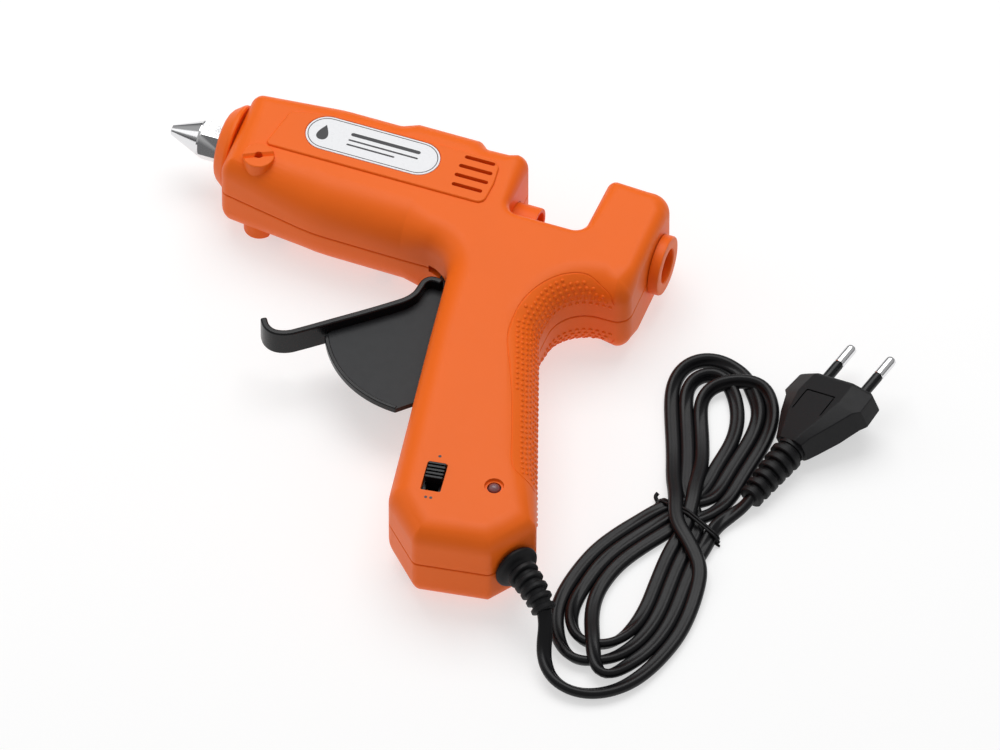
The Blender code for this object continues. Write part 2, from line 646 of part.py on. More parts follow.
def sleeve_and_clamp():
    """The silicone sleeve seals the stick at the chamber's rear; a wire clamp grips it."""
    bore = COLLAR_BORE - 0.0003
    front = CHAMBER_REAR + CLEARANCE
    turned("stick_sleeve", [
        (bore, SLEEVE_REAR), (0.0083, SLEEVE_REAR), (0.0083, front + 0.004), (0.0092, front + 0.004),
        (0.0092, front), (bore, front)],
        (0, 0, 0), (1, 0, 0), "silicone", steps=28, closed=True)
    radius = 0.0083 + CLEARANCE
    turned("sleeve_clamp", [
        (radius, front + 0.0085), (radius + 0.0007, front + 0.0085), (radius + 0.0007, front + 0.0060),
        (radius, front + 0.0060)],
        (0, 0, 0), (1, 0, 0), "spring_steel", steps=28, closed=True)


# ---------------------------------------------------------------- stick feed


def feed_carriage():
    length = TUBE_REAR - TUBE_FRONT
    carriage = rod("feed_carriage", (TUBE_FRONT, 0, 0), (TUBE_REAR, 0, 0), TUBE_RADIUS, "orange_plastic", sides=32)
    lug_low = PIN_REST.y - 0.0028
    for i, side in enumerate((1, -1)):
        z = sorted((side * 0.0029, side * 0.0052))
        lug = plate(f"carriage_lug_{i + 1}", [
            (PIN_REST.x - 0.0076, -0.0062), (PIN_REST.x - 0.0076, lug_low), (PIN_REST.x + 0.0035, lug_low),
            (PIN_REST.x + 0.0052, -0.0062)], z[0], z[1])
        boolean(carriage, lug, "UNION")
        z = sorted((side * 0.0029, side * 0.0046))
        ear = plate(f"carriage_ear_{i + 1}", [
            (JAW_PIVOT.x + 0.0042, 0.0060), (JAW_PIVOT.x + 0.0028, JAW_PIVOT.y + 0.0020),
            (JAW_PIVOT.x - 0.0028, JAW_PIVOT.y + 0.0020), (JAW_PIVOT.x - 0.0042, 0.0060)], z[0], z[1])
        boolean(carriage, ear, "UNION")
    seat = box("carriage_spring_seat", (SPRING_REAR + CLEARANCE, SPRING_Y - 0.0040, -0.0050),
               (SPRING_REAR + 0.0015, -0.0064, 0.0050))
    boolean(carriage, seat, "UNION")
    boolean(carriage, rod("carriage_bore", (TUBE_FRONT - 0.001, 0, 0), (TUBE_FRONT + length + 0.001, 0, 0),
                          TUBE_BORE, sides=32))
    boolean(carriage, box("jaw_window", (JAW_PIVOT.x - 0.0035, 0, -0.0028),
                          (JAW_PIVOT.x + 0.0112, TUBE_RADIUS + 0.001, 0.0028)))
    for name, place, reach in (("drive_pin_hole", PIN_REST, 0.007), ("jaw_pin_hole", JAW_PIVOT, 0.006)):
        hole = rod(name, place - Vector((0, 0, reach)), place + Vector((0, 0, reach)), PIN_RADIUS + CLEARANCE, sides=14)
        boolean(carriage, hole)
    move_origin(carriage, PIN_REST)

    pin = rod("drive_pin", PIN_REST - Vector((0, 0, 0.0062)), PIN_REST + Vector((0, 0, 0.0062)),
              PIN_RADIUS, "spring_steel", sides=14)
    move_origin(pin, PIN_REST)
    pin = rod("jaw_pin", JAW_PIVOT - Vector((0, 0, 0.0052)), JAW_PIVOT + Vector((0, 0, 0.0052)),
              PIN_RADIUS, "spring_steel", sides=14)
    move_origin(pin, JAW_PIVOT)


def grip_jaw():
    """The toothed jaw that bites the stick as the carriage goes forward."""
    tip = STICK_RADIUS + CLEARANCE - JAW_PIVOT.y
    outline = []
    for k in range(9):
        angle = math.radians(60 + 210 * k / 8)
        outline.append((0.0026 * math.cos(angle), 0.0026 * math.sin(angle)))
    teeth = 4
    for k in range(teeth):
        x = 0.0044 + 0.0011 * k
        outline.append((x, tip))
        outline.append((x + 0.0003, tip + 0.0006))
    outline.append((0.0090, tip + 0.0002))
    outline.append((0.0088, -0.0022))
    outline.append((0.0040, 0.0012))
    placed = [(JAW_PIVOT.x + x, JAW_PIVOT.y + y) for x, y in outline]
    jaw = plate("grip_jaw", placed, -0.0024, 0.0024, "black_plastic")
    hole = rod("grip_jaw_hole", JAW_PIVOT - Vector((0, 0, 0.004)), JAW_PIVOT + Vector((0, 0, 0.004)),
               PIN_RADIUS + CLEARANCE, sides=14)
    boolean(jaw, hole)
    move_origin(jaw, JAW_PIVOT)


def ribbon(points, thickness):
    """Outline of a bent strip of even thickness round a centre line."""
    left = []
    right = []
    for i, p in enumerate(points):
        before = Vector(points[max(i - 1, 0)])
        after = Vector(points[min(i + 1, len(points) - 1)])
        along = (after - before).normalized()
        across = Vector((-along.y, along.x)) * thickness / 2
        left.append(Vector(p) + across)
        right.append(Vector(p) - across)
    return left + right[::-1]


def trigger():
    """The long lever: a wide bent strip for the fingers, a thin web behind it and a forked drive arm."""
    centre = [
        (-0.0030, -0.0010), (-0.0066, -0.0032), (-0.0092, -0.0075), (-0.0096, -0.0125), (-0.0100, -0.0180),
        (-0.0122, -0.0240), (-0.0170, -0.0292), (-0.0293, -0.0406), (-0.0392, -0.0490), (-0.0432, -0.0519),
        (-0.0475, -0.0529), (-0.0510, -0.0514), (-0.0533, -0.0482)]
    centre = [(p.x, p.y) for p in smooth_route([(x, y, 0) for x, y in centre], 0.0026)]
    lever = plate("trigger", [PIVOT.to_2d() + p for p in ribbon(centre, TRIGGER_PLATE)],
                  -TRIGGER_HALF_WIDTH, TRIGGER_HALF_WIDTH, "black_plastic")

    web = [(-0.0286, -0.0400)]
    for k in range(11):
        angle = math.radians(204.6 + 63.7 * k / 10)
        web.append((WEB_CENTRE[0] + WEB_RADIUS * math.cos(angle), WEB_CENTRE[1] + WEB_RADIUS * math.sin(angle)))
    web += [(0.0115, -0.0610), (0.0092, -0.0300), (0.0045, -0.0020), (-0.0030, -0.0010),
            (-0.0092, -0.0075), (-0.0100, -0.0180), (-0.0122, -0.0240), (-0.0170, -0.0292)]
    sector = plate("trigger_web", [(PIVOT.x + x, PIVOT.y + y) for x, y in web], -WEB_HALF, WEB_HALF)
    boolean(lever, sector, "UNION")
    hub = rod("trigger_hub", PIVOT - Vector((0, 0, TRIGGER_HALF_WIDTH)),
              PIVOT + Vector((0, 0, TRIGGER_HALF_WIDTH)), 0.0046, sides=24)
    boolean(lever, hub, "UNION")

    top = ARM_RISE + 0.0024
    notch = PIN_RADIUS + CLEARANCE
    arm = [(-0.0034, 0), (-0.0036, top), (-notch, top), (-notch, ARM_RISE - 0.0018), (notch, ARM_RISE - 0.0018),
           (notch, top), (0.0036, top), (0.0034, 0)]
    leaned = [turn2(p, -TRIGGER_ANGLE / 2) for p in arm]
    fork = plate("trigger_arm", [(PIVOT.x + x, PIVOT.y + y) for x, y in leaned], -0.0020, 0.0020)
    boolean(lever, fork, "UNION")
    hole = rod("trigger_hole", PIVOT - Vector((0, 0, 0.008)), PIVOT + Vector((0, 0, 0.008)),
               PIVOT_RADIUS + CLEARANCE, sides=16)
    boolean(lever, hole)
    move_origin(lever, PIVOT)
    rod("trigger_pin", PIVOT - Vector((0, 0, 0.0128)), PIVOT + Vector((0, 0, 0.0128)),
        PIVOT_RADIUS, "spring_steel", sides=16)


def return_spring():
    """A coil between the carriage's seat and the body's wall, wound along X."""
    wire = 0.00045
    mean = 0.0030
    turns = 7
    points = []
    for k in range(turns * 9 + 1):
        angle = 2 * math.pi * k / 9
        x = SPRING_FRONT + wire + (SPRING_REAR - SPRING_FRONT - 2 * wire) * k / (turns * 9)
        points.append((x, SPRING_Y + mean * math.cos(angle), mean * math.sin(angle)))
    tube("return_spring", points, wire, "spring_steel", resolution=1)


def rear_collar():
    """The stick's feed collar: an outer rim, a neck through the wall and a guide tube inside."""
    rear = REAR_FACE
    turned("rear_collar", [
        (COLLAR_BORE, 0), (COLLAR_RADIUS - 0.0005, 0), (COLLAR_RADIUS, -0.0006), (COLLAR_RADIUS, rear + CLEARANCE),
        (0.0090, rear + CLEARANCE), (0.0090, rear - WALL - CLEARANCE), (COLLAR_RADIUS, rear - WALL - CLEARANCE),
        (COLLAR_RADIUS, rear - WALL - 0.0020), (0.0080, rear - WALL - 0.0020),
        (0.0080, WINDOW_REAR + WALL + CLEARANCE), (COLLAR_BORE, WINDOW_REAR + WALL + CLEARANCE)],
        (0, 0, 0), (1, 0, 0), "orange_plastic", steps=32, closed=True)


# ---------------------------------------------------------------- electrical pieces


def switch():
    """A two-way slide switch: its ribbed slider stands in a window of the left half."""
    inner = HALF_WIDTH - WALL
    body = plate("switch_body", rounded_box(SWITCH, 0.0170, 0.0104, 0.0005, SWITCH_LEAN),
                 inner - 0.0075, inner - CLEARANCE, "black_plastic")
    slot = plate("switch_slot", rounded_box(SWITCH, 0.0118, 0.0046, 0.0003, SWITCH_LEAN),
                 inner - 0.0040, inner + 0.001)
    boolean(body, slot)
    shift = turn2((0, 0.0024), SWITCH_LEAN)
    centre = SWITCH + Vector((shift[0], shift[1], 0))
    slider = plate("switch_slider", rounded_box(centre, 0.0074, 0.0064, 0.0004, SWITCH_LEAN),
                   inner + CLEARANCE / 2, HALF_WIDTH + 0.0010, "black_plastic")
    foot = plate("switch_slider_foot", rounded_box(centre, 0.0060, 0.0040, 0.0003, SWITCH_LEAN),
                 inner - 0.0036, inner + 0.001)
    boolean(slider, foot, "UNION")
    for k in range(4):
        offset = turn2((0, -0.0024 + 0.0016 * k), SWITCH_LEAN)
        groove = plate(f"slider_groove_{k + 1}",
                       rounded_box((centre.x + offset[0], centre.y + offset[1]), 0.0007, 0.010, 0.0002, SWITCH_LEAN),
                       HALF_WIDTH + 0.0004, HALF_WIDTH + 0.003)
        boolean(slider, groove)
    move_origin(slider, centre)


def lamp():
    inner = HALF_WIDTH - WALL
    turned("lamp_lens", [
        (0, HALF_WIDTH - 0.0002), (0.0012, HALF_WIDTH - 0.0004), (0.0021, HALF_WIDTH - 0.0014),
        (0.0021, inner - 0.0002), (0.0030, inner - 0.0002), (0.0030, inner - 0.0012), (0, inner - 0.0012)],
        (LAMP.x, LAMP.y, 0), (0, 0, 1), "lamp", steps=20)
    rod("lamp_bulb", (LAMP.x, LAMP.y, inner - 0.0016), (LAMP.x, LAMP.y, inner - 0.0078), 0.0022, "white_print", sides=12)


CLAMP_PLACE = RELIEF_FACE - RELIEF_OUT * 0.0185


def cord_anchor():
    """The cord's grip inside the butt: a saddle bar over the cord, with two screws, and a connector block."""
    along = RELIEF_OUT.to_2d()
    across = Vector((-along.y, along.x))
    centre = CLAMP_PLACE.to_2d()
    outline = [centre + across * (0.0085 * i) + along * (0.0028 * j) for i, j in ((-1, -1), (1, -1), (1, 1), (-1, 1))]
    bar = plate("cord_clamp", outline, 0.0022 + CLEARANCE, 0.0050, "nylon")
    for i, side in enumerate((1, -1)):
        spot = centre + across * 0.0058 * side
        boolean(bar, rod(f"clamp_hole_{i + 1}", (spot.x, spot.y, 0), (spot.x, spot.y, 0.008), 0.0012, sides=12))
        turned(f"clamp_screw_{i + 1}", [
            (0, 0.0016), (0.0015, 0.0014), (0.0021, 0.0), (0.0009, 0.0), (0.0009, -0.0070), (0, -0.0074)],
            (spot.x, spot.y, 0.0050 + CLEARANCE), (0, 0, 1), "spring_steel", steps=12)
    block = Vector((HANDLE_FRONT + 0.0385, -BUTT_FRONT_DEPTH + 0.0425, -0.0060))
    body = box("connector_block", block - Vector((0.0075, 0.0045, 0.0040)), block + Vector((0.0075, 0.0045, 0.0040)), "nylon")
    for i, side in enumerate((1, -1)):
        x = block.x + 0.0036 * side
        boolean(body, rod(f"connector_bore_{i + 1}", (x, block.y - 0.006, block.z), (x, block.y + 0.006, block.z),
                          0.0014, sides=12))
    return block


def inner_wires(block):
    """Mains conductors from the clamp to the connector, and sleeved leads on to the heater."""
    entry = RELIEF_FACE - RELIEF_OUT * 0.0215
    bar = RELIEF_FACE - RELIEF_OUT * 0.0075
    tube("inner_cord", [bar, RELIEF_FACE - RELIEF_OUT * 0.012, RELIEF_FACE - RELIEF_OUT * 0.017, entry],
         0.0019, "cord", resolution=3)
    ahead = entry - RELIEF_OUT * 0.0012
    low = block.y - 0.0045 - CLEARANCE
    for name, shift, x, finish in (("live_wire", 0.0011, block.x + 0.0036, "wire_brown"),
                                   ("neutral_wire", -0.0011, block.x - 0.0036, "wire_blue")):
        start = ahead + Vector((-RELIEF_OUT.y, RELIEF_OUT.x, 0)) * shift
        route = [start, start - RELIEF_OUT * 0.004 + Vector((0, 0, -0.001)),
                 Vector((x + 0.002, low - 0.010, -0.004)), Vector((x, low - 0.004, block.z)), Vector((x, low, block.z))]
        tube(name, smooth_route(route, 0.0022), 0.0009, finish, resolution=1)
    high = block.y + 0.0045 + CLEARANCE
    for name, side, x in (("heater_lead_left", 1, block.x + 0.0036), ("heater_lead_right", -1, block.x - 0.0036)):
        z_side = 0.0110 * side
        route = [
            Vector((x, high, block.z)), Vector((x, high + 0.005, block.z)),
            Vector((HANDLE_FRONT + 0.0300, -0.0900, z_side * 0.8)), Vector((HANDLE_FRONT + 0.0160, -0.0620, z_side)),
            Vector((HANDLE_FRONT + 0.0120, -0.0400, z_side)), Vector((HANDLE_FRONT + 0.0075, -0.0230, z_side)),
            Vector((HANDLE_FRONT - 0.0060, -0.0155, z_side)), Vector((SPRING_FRONT + 0.0040, -0.0150, z_side)),
        ]
        tube(name, smooth_route(route, 0.0060), 0.0010, "wire_white", resolution=1)


# ---------------------------------------------------------------- strain relief, cord and plug


def strain_relief():
    """A moulded sleeve: a neck in the wall, a flange and a ribbed taper that droops to the table."""
    out = RELIEF_OUT
    stations = [
        (-0.0060, 0.0040), (-0.0005, 0.0040), (0.0003, 0.0078), (0.0008, 0.0084), (0.0022, 0.0084), (0.0030, 0.0074),
        (0.0034, 0.0052)]
    for k in range(5):
        s = 0.0050 + 0.0036 * k
        big = 0.0056 - 0.00035 * k
        small = 0.0041 - 0.0002 * k
        stations += [(s, small), (s + 0.0003, big), (s + 0.0015, big), (s + 0.0018, small)]
    points = []
    radii = []
    droop = math.radians(27)
    swing = math.radians(-9)
    span = stations[-1][0]
    for s, radius in stations:
        if s <= 0.0034:
            place = RELIEF_FACE + out * s
        else:
            share = (s - 0.0034) / (span - 0.0034)
            lean = droop * share
            side = swing * share
            heading = Vector((*turn2((out.x, out.y), side / 2), 0))
            run = s - 0.0034
            place = (RELIEF_FACE + out * 0.0034 + heading * run * math.cos(lean / 2)
                     - Vector((0, 0, run * math.sin(lean / 2))))
        points.append(place)
        radii.append(radius)
    tube("strain_relief", points, 0.004, "black_plastic", radii=radii, resolution=4)
    return points[-1], (points[-1] - points[-3]).normalized()


FLOOR = TABLE + CORD_RADIUS + 0.0001


def cord_lead(start, heading):
    """The lead from the strain relief down to the table and round below the hank."""
    first = start + heading * CLEARANCE
    route = [
        first, first + heading * 0.006, Vector((0.0148, -0.1695, FLOOR + 0.0022)), Vector((0.0175, -0.1755, FLOOR)),
        Vector((0.0230, -0.1800, FLOOR)), Vector((0.0300, -0.1818, FLOOR)), Vector((0.0375, -0.1803, FLOOR)),
        Vector((0.0450, -0.1750, FLOOR)), Vector((0.0503, -0.1665, FLOOR)), Vector((0.0535, -0.1565, FLOOR)),
        Vector((0.0547, -0.1450, FLOOR)), Vector((0.0538, -0.1330, FLOOR)), Vector((0.0514, -0.1230, FLOOR)),
        Vector((0.0495, -0.1165, FLOOR)), Vector((0.0490, -0.1130, FLOOR))]
    tube("cord_lead", smooth_route(route, 0.0055), CORD_RADIUS, "cord", resolution=2)


def hank_outline():
    """The outer shape of the folded cord: two lobes with a waist where the tie holds it."""
    return [
        (0.0302, -0.0910), (0.0280, -0.0830), (0.0205, -0.0620), (0.0145, -0.0450), (0.0132, -0.0350),
        (0.0160, -0.0265), (0.0220, -0.0215), (0.0300, -0.0210), (0.0385, -0.0240), (0.0465, -0.0290),
        (0.0525, -0.0360), (0.0542, -0.0460), (0.0530, -0.0590), (0.0500, -0.0715), (0.0480, -0.0830),
        (0.0482, -0.0930), (0.0488, -0.1010), (0.0505, -0.1070), (0.0522, -0.1125), (0.0458, -0.1126),
        (0.0462, -0.1160), (0.0480, -0.1225), (0.0500, -0.1310), (0.0512, -0.1400), (0.0510, -0.1480),
        (0.0485, -0.1565), (0.0445, -0.1650), (0.0395, -0.1722), (0.0335, -0.1730),
        (0.0270, -0.1705), (0.0200, -0.1655), (0.0145, -0.1580), (0.0112, -0.1480), (0.0118, -0.1340),
        (0.0160, -0.1210), (0.0220, -0.1110), (0.0280, -0.1030), (0.0302, -0.0970)]


def hank_and_tie():
    hank = plate("cord_hank", hank_outline(), TABLE + 0.0002, TABLE + HANK_HEIGHT, "cord")
    low = Vector((0.0293, -0.0985, TABLE + 0.0001))
    high = Vector((0.0497, -0.0960, TABLE + HANK_HEIGHT + 0.0012))
    wire = Vector((0.0012, 0, 0.0012))
    grow = Vector((CLEARANCE, CLEARANCE, CLEARANCE))
    notch = box("tie_notch", low - grow, high + grow)
    keep = box("tie_notch_core", low + wire + Vector((CLEARANCE, -0.002, CLEARANCE)),
               high - wire + Vector((-CLEARANCE, 0.002, -CLEARANCE)))
    boolean(notch, keep)
    boolean(hank, notch)
    tie = box("cord_tie", low, high, "black_plastic")
    boolean(tie, box("tie_hole", low + wire + Vector((0, -0.002, 0)), high - wire + Vector((0, 0.002, 0))))


PLUG_AZIMUTH = math.radians(74)
PLUG_PITCH = math.radians(7)
PLUG_ROLL = math.radians(20)
PLUG_NOSE = Vector((0.0742, -0.0262, TABLE + 0.0110))
PLUG_LENGTH = 0.030
PLUG_RELIEF_LENGTH = 0.026


def plug_matrix():
    """Plug frame: +X towards the pins, +Y across them, origin at the middle of the pin face."""
    turn = (Matrix.Rotation(PLUG_AZIMUTH, 4, "Z") @ Matrix.Rotation(-PLUG_PITCH, 4, "Y")
            @ Matrix.Rotation(-PLUG_ROLL, 4, "X"))
    return Matrix.Translation(PLUG_NOSE) @ turn


def plug():
    """A flat two-pin plug whose ribbed tail takes the cord."""
    place = plug_matrix()
    sections = [
        (0.0, 0.0160, 0.0060, 0.0070, 0.0032), (-0.0015, 0.0172, 0.0066, 0.0080, 0.0036),
        (-0.0105, 0.0178, 0.0068, 0.0082, 0.0038), (-0.0125, 0.0160, 0.0068, 0.0080, 0.0042),
        (-0.0200, 0.0110, 0.0062, 0.0060, 0.0042), (-0.0260, 0.0072, 0.0056, 0.0040, 0.0040),
        (-PLUG_LENGTH, 0.0058, 0.0050, 0.0030, 0.0034)]
    shape = bmesh.new()
    loops = []
    for x, half_width, half_thick, flat, edge in sections:
        ring = [(flat, half_thick), (half_width, edge), (half_width, -edge), (flat, -half_thick),
                (-flat, -half_thick), (-half_width, -edge), (-half_width, edge), (-flat, half_thick)]
        loops.append([shape.verts.new((x, y, z)) for y, z in ring])
    for a, b in zip(loops, loops[1:]):
        for i in range(8):
            j = (i + 1) % 8
            shape.faces.new((a[i], a[j], b[j], b[i]))
    shape.faces.new(loops[0])
    shape.faces.new(loops[-1])
    body = mesh_from("plug_body", shape, "black_plastic")
    body.matrix_local = place

    profile = [(0, 0.002), (0.0052, 0.002), (0.0052, -0.0012)]
    for k in range(6):
        top = -0.0012 - 0.0040 * k
        big = 0.0056 - 0.0003 * k
        profile += [(big - 0.0014, top), (big - 0.0014, top - 0.0016), (big, top - 0.0016), (big, top - 0.0040)]
    profile += [(0, -0.0012 - 0.0240)]
    tail = turned("plug_tail", profile, (0, 0, 0), (1, 0, 0), steps=14)
    tail.matrix_local = place @ Matrix.Translation((-PLUG_LENGTH, 0, 0)) @ Matrix.Rotation(math.pi / 2, 4, "Y")
    boolean(body, tail, "UNION")

    for i, side in enumerate((-1, 1)):
        y = side * PLUG_PIN_SPACING / 2
        hole = rod(f"pin_hole_{i + 1}", (-0.009, y, 0), (0.001, y, 0), 0.0019 + CLEARANCE, sides=14)
        hole.matrix_local = place
        boolean(body, hole)
        sleeve = rod(f"pin_sleeve_{i + 1}", (-0.0050, y, 0), (0.0100, y, 0), 0.0019, "black_plastic", sides=16)
        sleeve.matrix_local = place
        core = rod(f"sleeve_bore_{i + 1}", (-0.0060, y, 0), (0.0110, y, 0), 0.0011 + CLEARANCE, sides=12)
        core.matrix_local = place
        boolean(sleeve, core)
        pin = turned(f"plug_pin_{i + 1}", [
            (0, PLUG_PIN_LENGTH), (0.0012, PLUG_PIN_LENGTH - 0.0002), (0.0019, PLUG_PIN_LENGTH - 0.0012),
            (0.0020, PLUG_PIN_LENGTH - 0.0020), (0.0020, 0.0100 + CLEARANCE), (0.0011, 0.0100 + CLEARANCE),
            (0.0011, -0.0080), (0, -0.0080)], (0, 0, 0), (1, 0, 0), "chrome", steps=16)
        pin.matrix_local = place @ Matrix.Translation((0, y, 0)) @ Matrix.Rotation(math.pi / 2, 4, "Y")

    tail_end = place @ Vector((-PLUG_LENGTH - 0.0252 - CLEARANCE, 0, 0))
    heading = (place.to_3x3() @ Vector((-1, 0, 0))).normalized()
    return tail_end, heading


def cord_tail(end, heading):
    """The short stretch from the hank's waist to the plug's ribbed tail."""
    route = [end, end + heading * 0.004, Vector((0.0534, -0.0925, FLOOR + 0.0002))]
    tube("cord_tail", smooth_route(route, 0.0045), CORD_RADIUS, "cord", resolution=2)


# ---------------------------------------------------------------- assembly
half_shell("left_shell", 1)
half_shell("right_shell", -1)
screws()
labels()
melt_end()
sleeve_and_clamp()
feed_carriage()
grip_jaw()
trigger()
return_spring()
rear_collar()
switch()
lamp()
inner_wires(cord_anchor())
relief_end, relief_heading = strain_relief()
cord_lead(relief_end, relief_heading)
hank_and_tie()
tail_end, tail_heading = plug()
cord_tail(tail_end, tail_heading)
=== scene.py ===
# %% [markdown]
# # A hot glue gun
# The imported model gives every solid's place. This lesson builds the looks around it, one piece at a time:
# the camera and light, the folded cord, the two moulded halves, then the small pieces.

# %% Load the model
import json
import math

import bpy
import numpy as np
from mathutils import Matrix, Vector


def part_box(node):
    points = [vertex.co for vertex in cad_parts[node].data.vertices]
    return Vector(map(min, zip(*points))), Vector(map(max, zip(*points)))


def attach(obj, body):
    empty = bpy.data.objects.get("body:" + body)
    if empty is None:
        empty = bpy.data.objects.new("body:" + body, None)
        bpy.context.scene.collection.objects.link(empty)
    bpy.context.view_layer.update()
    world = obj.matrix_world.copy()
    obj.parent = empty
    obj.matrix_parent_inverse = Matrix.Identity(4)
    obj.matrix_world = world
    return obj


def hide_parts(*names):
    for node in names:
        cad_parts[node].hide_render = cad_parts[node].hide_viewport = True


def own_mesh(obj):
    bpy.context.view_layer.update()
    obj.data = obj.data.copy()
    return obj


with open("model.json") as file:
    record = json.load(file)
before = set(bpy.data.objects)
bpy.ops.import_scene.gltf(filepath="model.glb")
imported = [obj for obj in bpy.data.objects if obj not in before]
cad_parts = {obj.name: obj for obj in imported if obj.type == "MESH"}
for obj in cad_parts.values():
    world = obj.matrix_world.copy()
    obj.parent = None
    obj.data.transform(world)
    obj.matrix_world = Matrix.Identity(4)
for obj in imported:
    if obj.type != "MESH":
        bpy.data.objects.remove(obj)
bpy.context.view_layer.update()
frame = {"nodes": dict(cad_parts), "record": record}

print("model loaded, nodes:", len(frame["nodes"]))

# %% [markdown]
# All pieces are shaped in the gun's own frame, in millimetres: x back along the glue stick, y up to the gun's
# top, z out of its left side, with zero on the stick's axis at the rim of the feed collar. One matrix puts a
# finished mesh in its place in the model.

# %% The gun's frame
collar_low, collar_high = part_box("rear_collar")
AXIS = Vector((collar_high.x, (collar_low.y + collar_high.y) / 2, (collar_low.z + collar_high.z) / 2))
TO_MODEL = Matrix.Translation(AXIS) @ Matrix.Scale(0.001, 4)
TABLE = -AXIS.z * 1000
print("table is", round(TABLE, 2), "mm below the stick's axis")

# %% [markdown]
# The camera looks down at the gun from the grip's side, 49 degrees above the table. A very long lens from 8 m
# keeps the lines parallel.

# %% Camera
TURN, RISE, DISTANCE = math.radians(20.18), math.radians(49), 8.0
across = Vector((math.cos(TURN), math.sin(TURN), 0))
ahead = Vector((-math.sin(TURN), math.cos(TURN), 0))
view_line = ahead * math.cos(RISE) - Vector((0, 0, math.sin(RISE)))
view_up = ahead * math.sin(RISE) + Vector((0, 0, math.cos(RISE)))
aim = AXIS - across * 0.0589 - view_up * 0.0381
camera = bpy.data.objects.new("camera", bpy.data.cameras.new("camera"))
bpy.context.scene.collection.objects.link(camera)
camera.data.lens = 102.6 * DISTANCE
camera.data.sensor_width = 36
camera.location = aim - view_line * DISTANCE
camera.rotation_euler = view_line.to_track_quat("-Z", "Y").to_euler()
bpy.context.scene.camera = camera
print("camera at", [round(c, 3) for c in camera.location])

# %% [markdown]
# The floor is a wide pale sheet that glows a little, which keeps the orange from tinting it. The room round it
# is dark at the horizon and bright above, so that the chrome has something to mirror. A large soft lamp
# overhead and behind makes the flat side bright and leaves the lower flanks darker. A small one on the left
# gives the chrome and the black plastic an edge to show.

# %% Floor and lights


def area_lamp(name, place, target, width, power):
    lamp_data = bpy.data.lights.new(name, "AREA")
    lamp_data.shape = "RECTANGLE"
    lamp_data.size = width[0]
    lamp_data.size_y = width[1]
    lamp_data.energy = power
    lamp_object = bpy.data.objects.new(name, lamp_data)
    bpy.context.scene.collection.objects.link(lamp_object)
    lamp_object.location = place
    lamp_object.rotation_euler = (Vector(target) - Vector(place)).to_track_quat("-Z", "Y").to_euler()


bpy.ops.object.select_all(action="DESELECT")
bpy.ops.mesh.primitive_plane_add(size=8, location=(0, 0, -0.0002))
floor = bpy.context.object
floor.name = "floor"
paper = bpy.data.materials.new("pale_floor")
paper.use_nodes = True
paper_sockets = paper.node_tree.nodes["Principled BSDF"].inputs
paper_sockets["Base Color"].default_value = (0.5, 0.5, 0.5, 1)
paper_sockets["Roughness"].default_value = 0.9
paper_sockets["Specular IOR Level"].default_value = 0.1
paper_sockets["Emission Color"].default_value = (1, 1, 1, 1)
paper_sockets["Emission Strength"].default_value = 0.55
floor.data.materials.append(paper)
area_lamp("overhead", (-0.15, 0.55, 1.3), (0.02, 0.0, 0.0), (1.3, 1.0), 12.5)
area_lamp("left_side", (-1.0, -0.1, 0.7), (0, 0, 0), (0.5, 0.9), 1.2)
sky = bpy.data.worlds.new("studio")
sky.use_nodes = True
sky_nodes, sky_links = sky.node_tree.nodes, sky.node_tree.links
where = sky_nodes.new("ShaderNodeTexCoord")
split = sky_nodes.new("ShaderNodeSeparateXYZ")
ramp = sky_nodes.new("ShaderNodeValToRGB")
sky_links.new(where.outputs["Generated"], split.inputs["Vector"])
sky_links.new(split.outputs["Z"], ramp.inputs["Fac"])
sky_links.new(ramp.outputs["Color"], sky_nodes["Background"].inputs["Color"])
ramp.color_ramp.elements[0].position, ramp.color_ramp.elements[0].color = 0.05, (0.12, 0.12, 0.13, 1)
ramp.color_ramp.elements[1].position, ramp.color_ramp.elements[1].color = 0.42, (1, 1, 1, 1)
sky_nodes["Background"].inputs["Strength"].default_value = 0.42
bpy.context.scene.world = sky
bpy.context.scene.view_settings.view_transform = "Standard"
print("floor and", len(bpy.data.lights), "lamps")

# %% [markdown]
# Moulded plastic isn't one flat colour: its spark-eroded skin scatters light a little, its gloss wanders, and
# its colour drifts by a percent or two. One recipe makes all the plain finishes from those three effects,
# with noise in the piece's own coordinates.

# %% Finishes


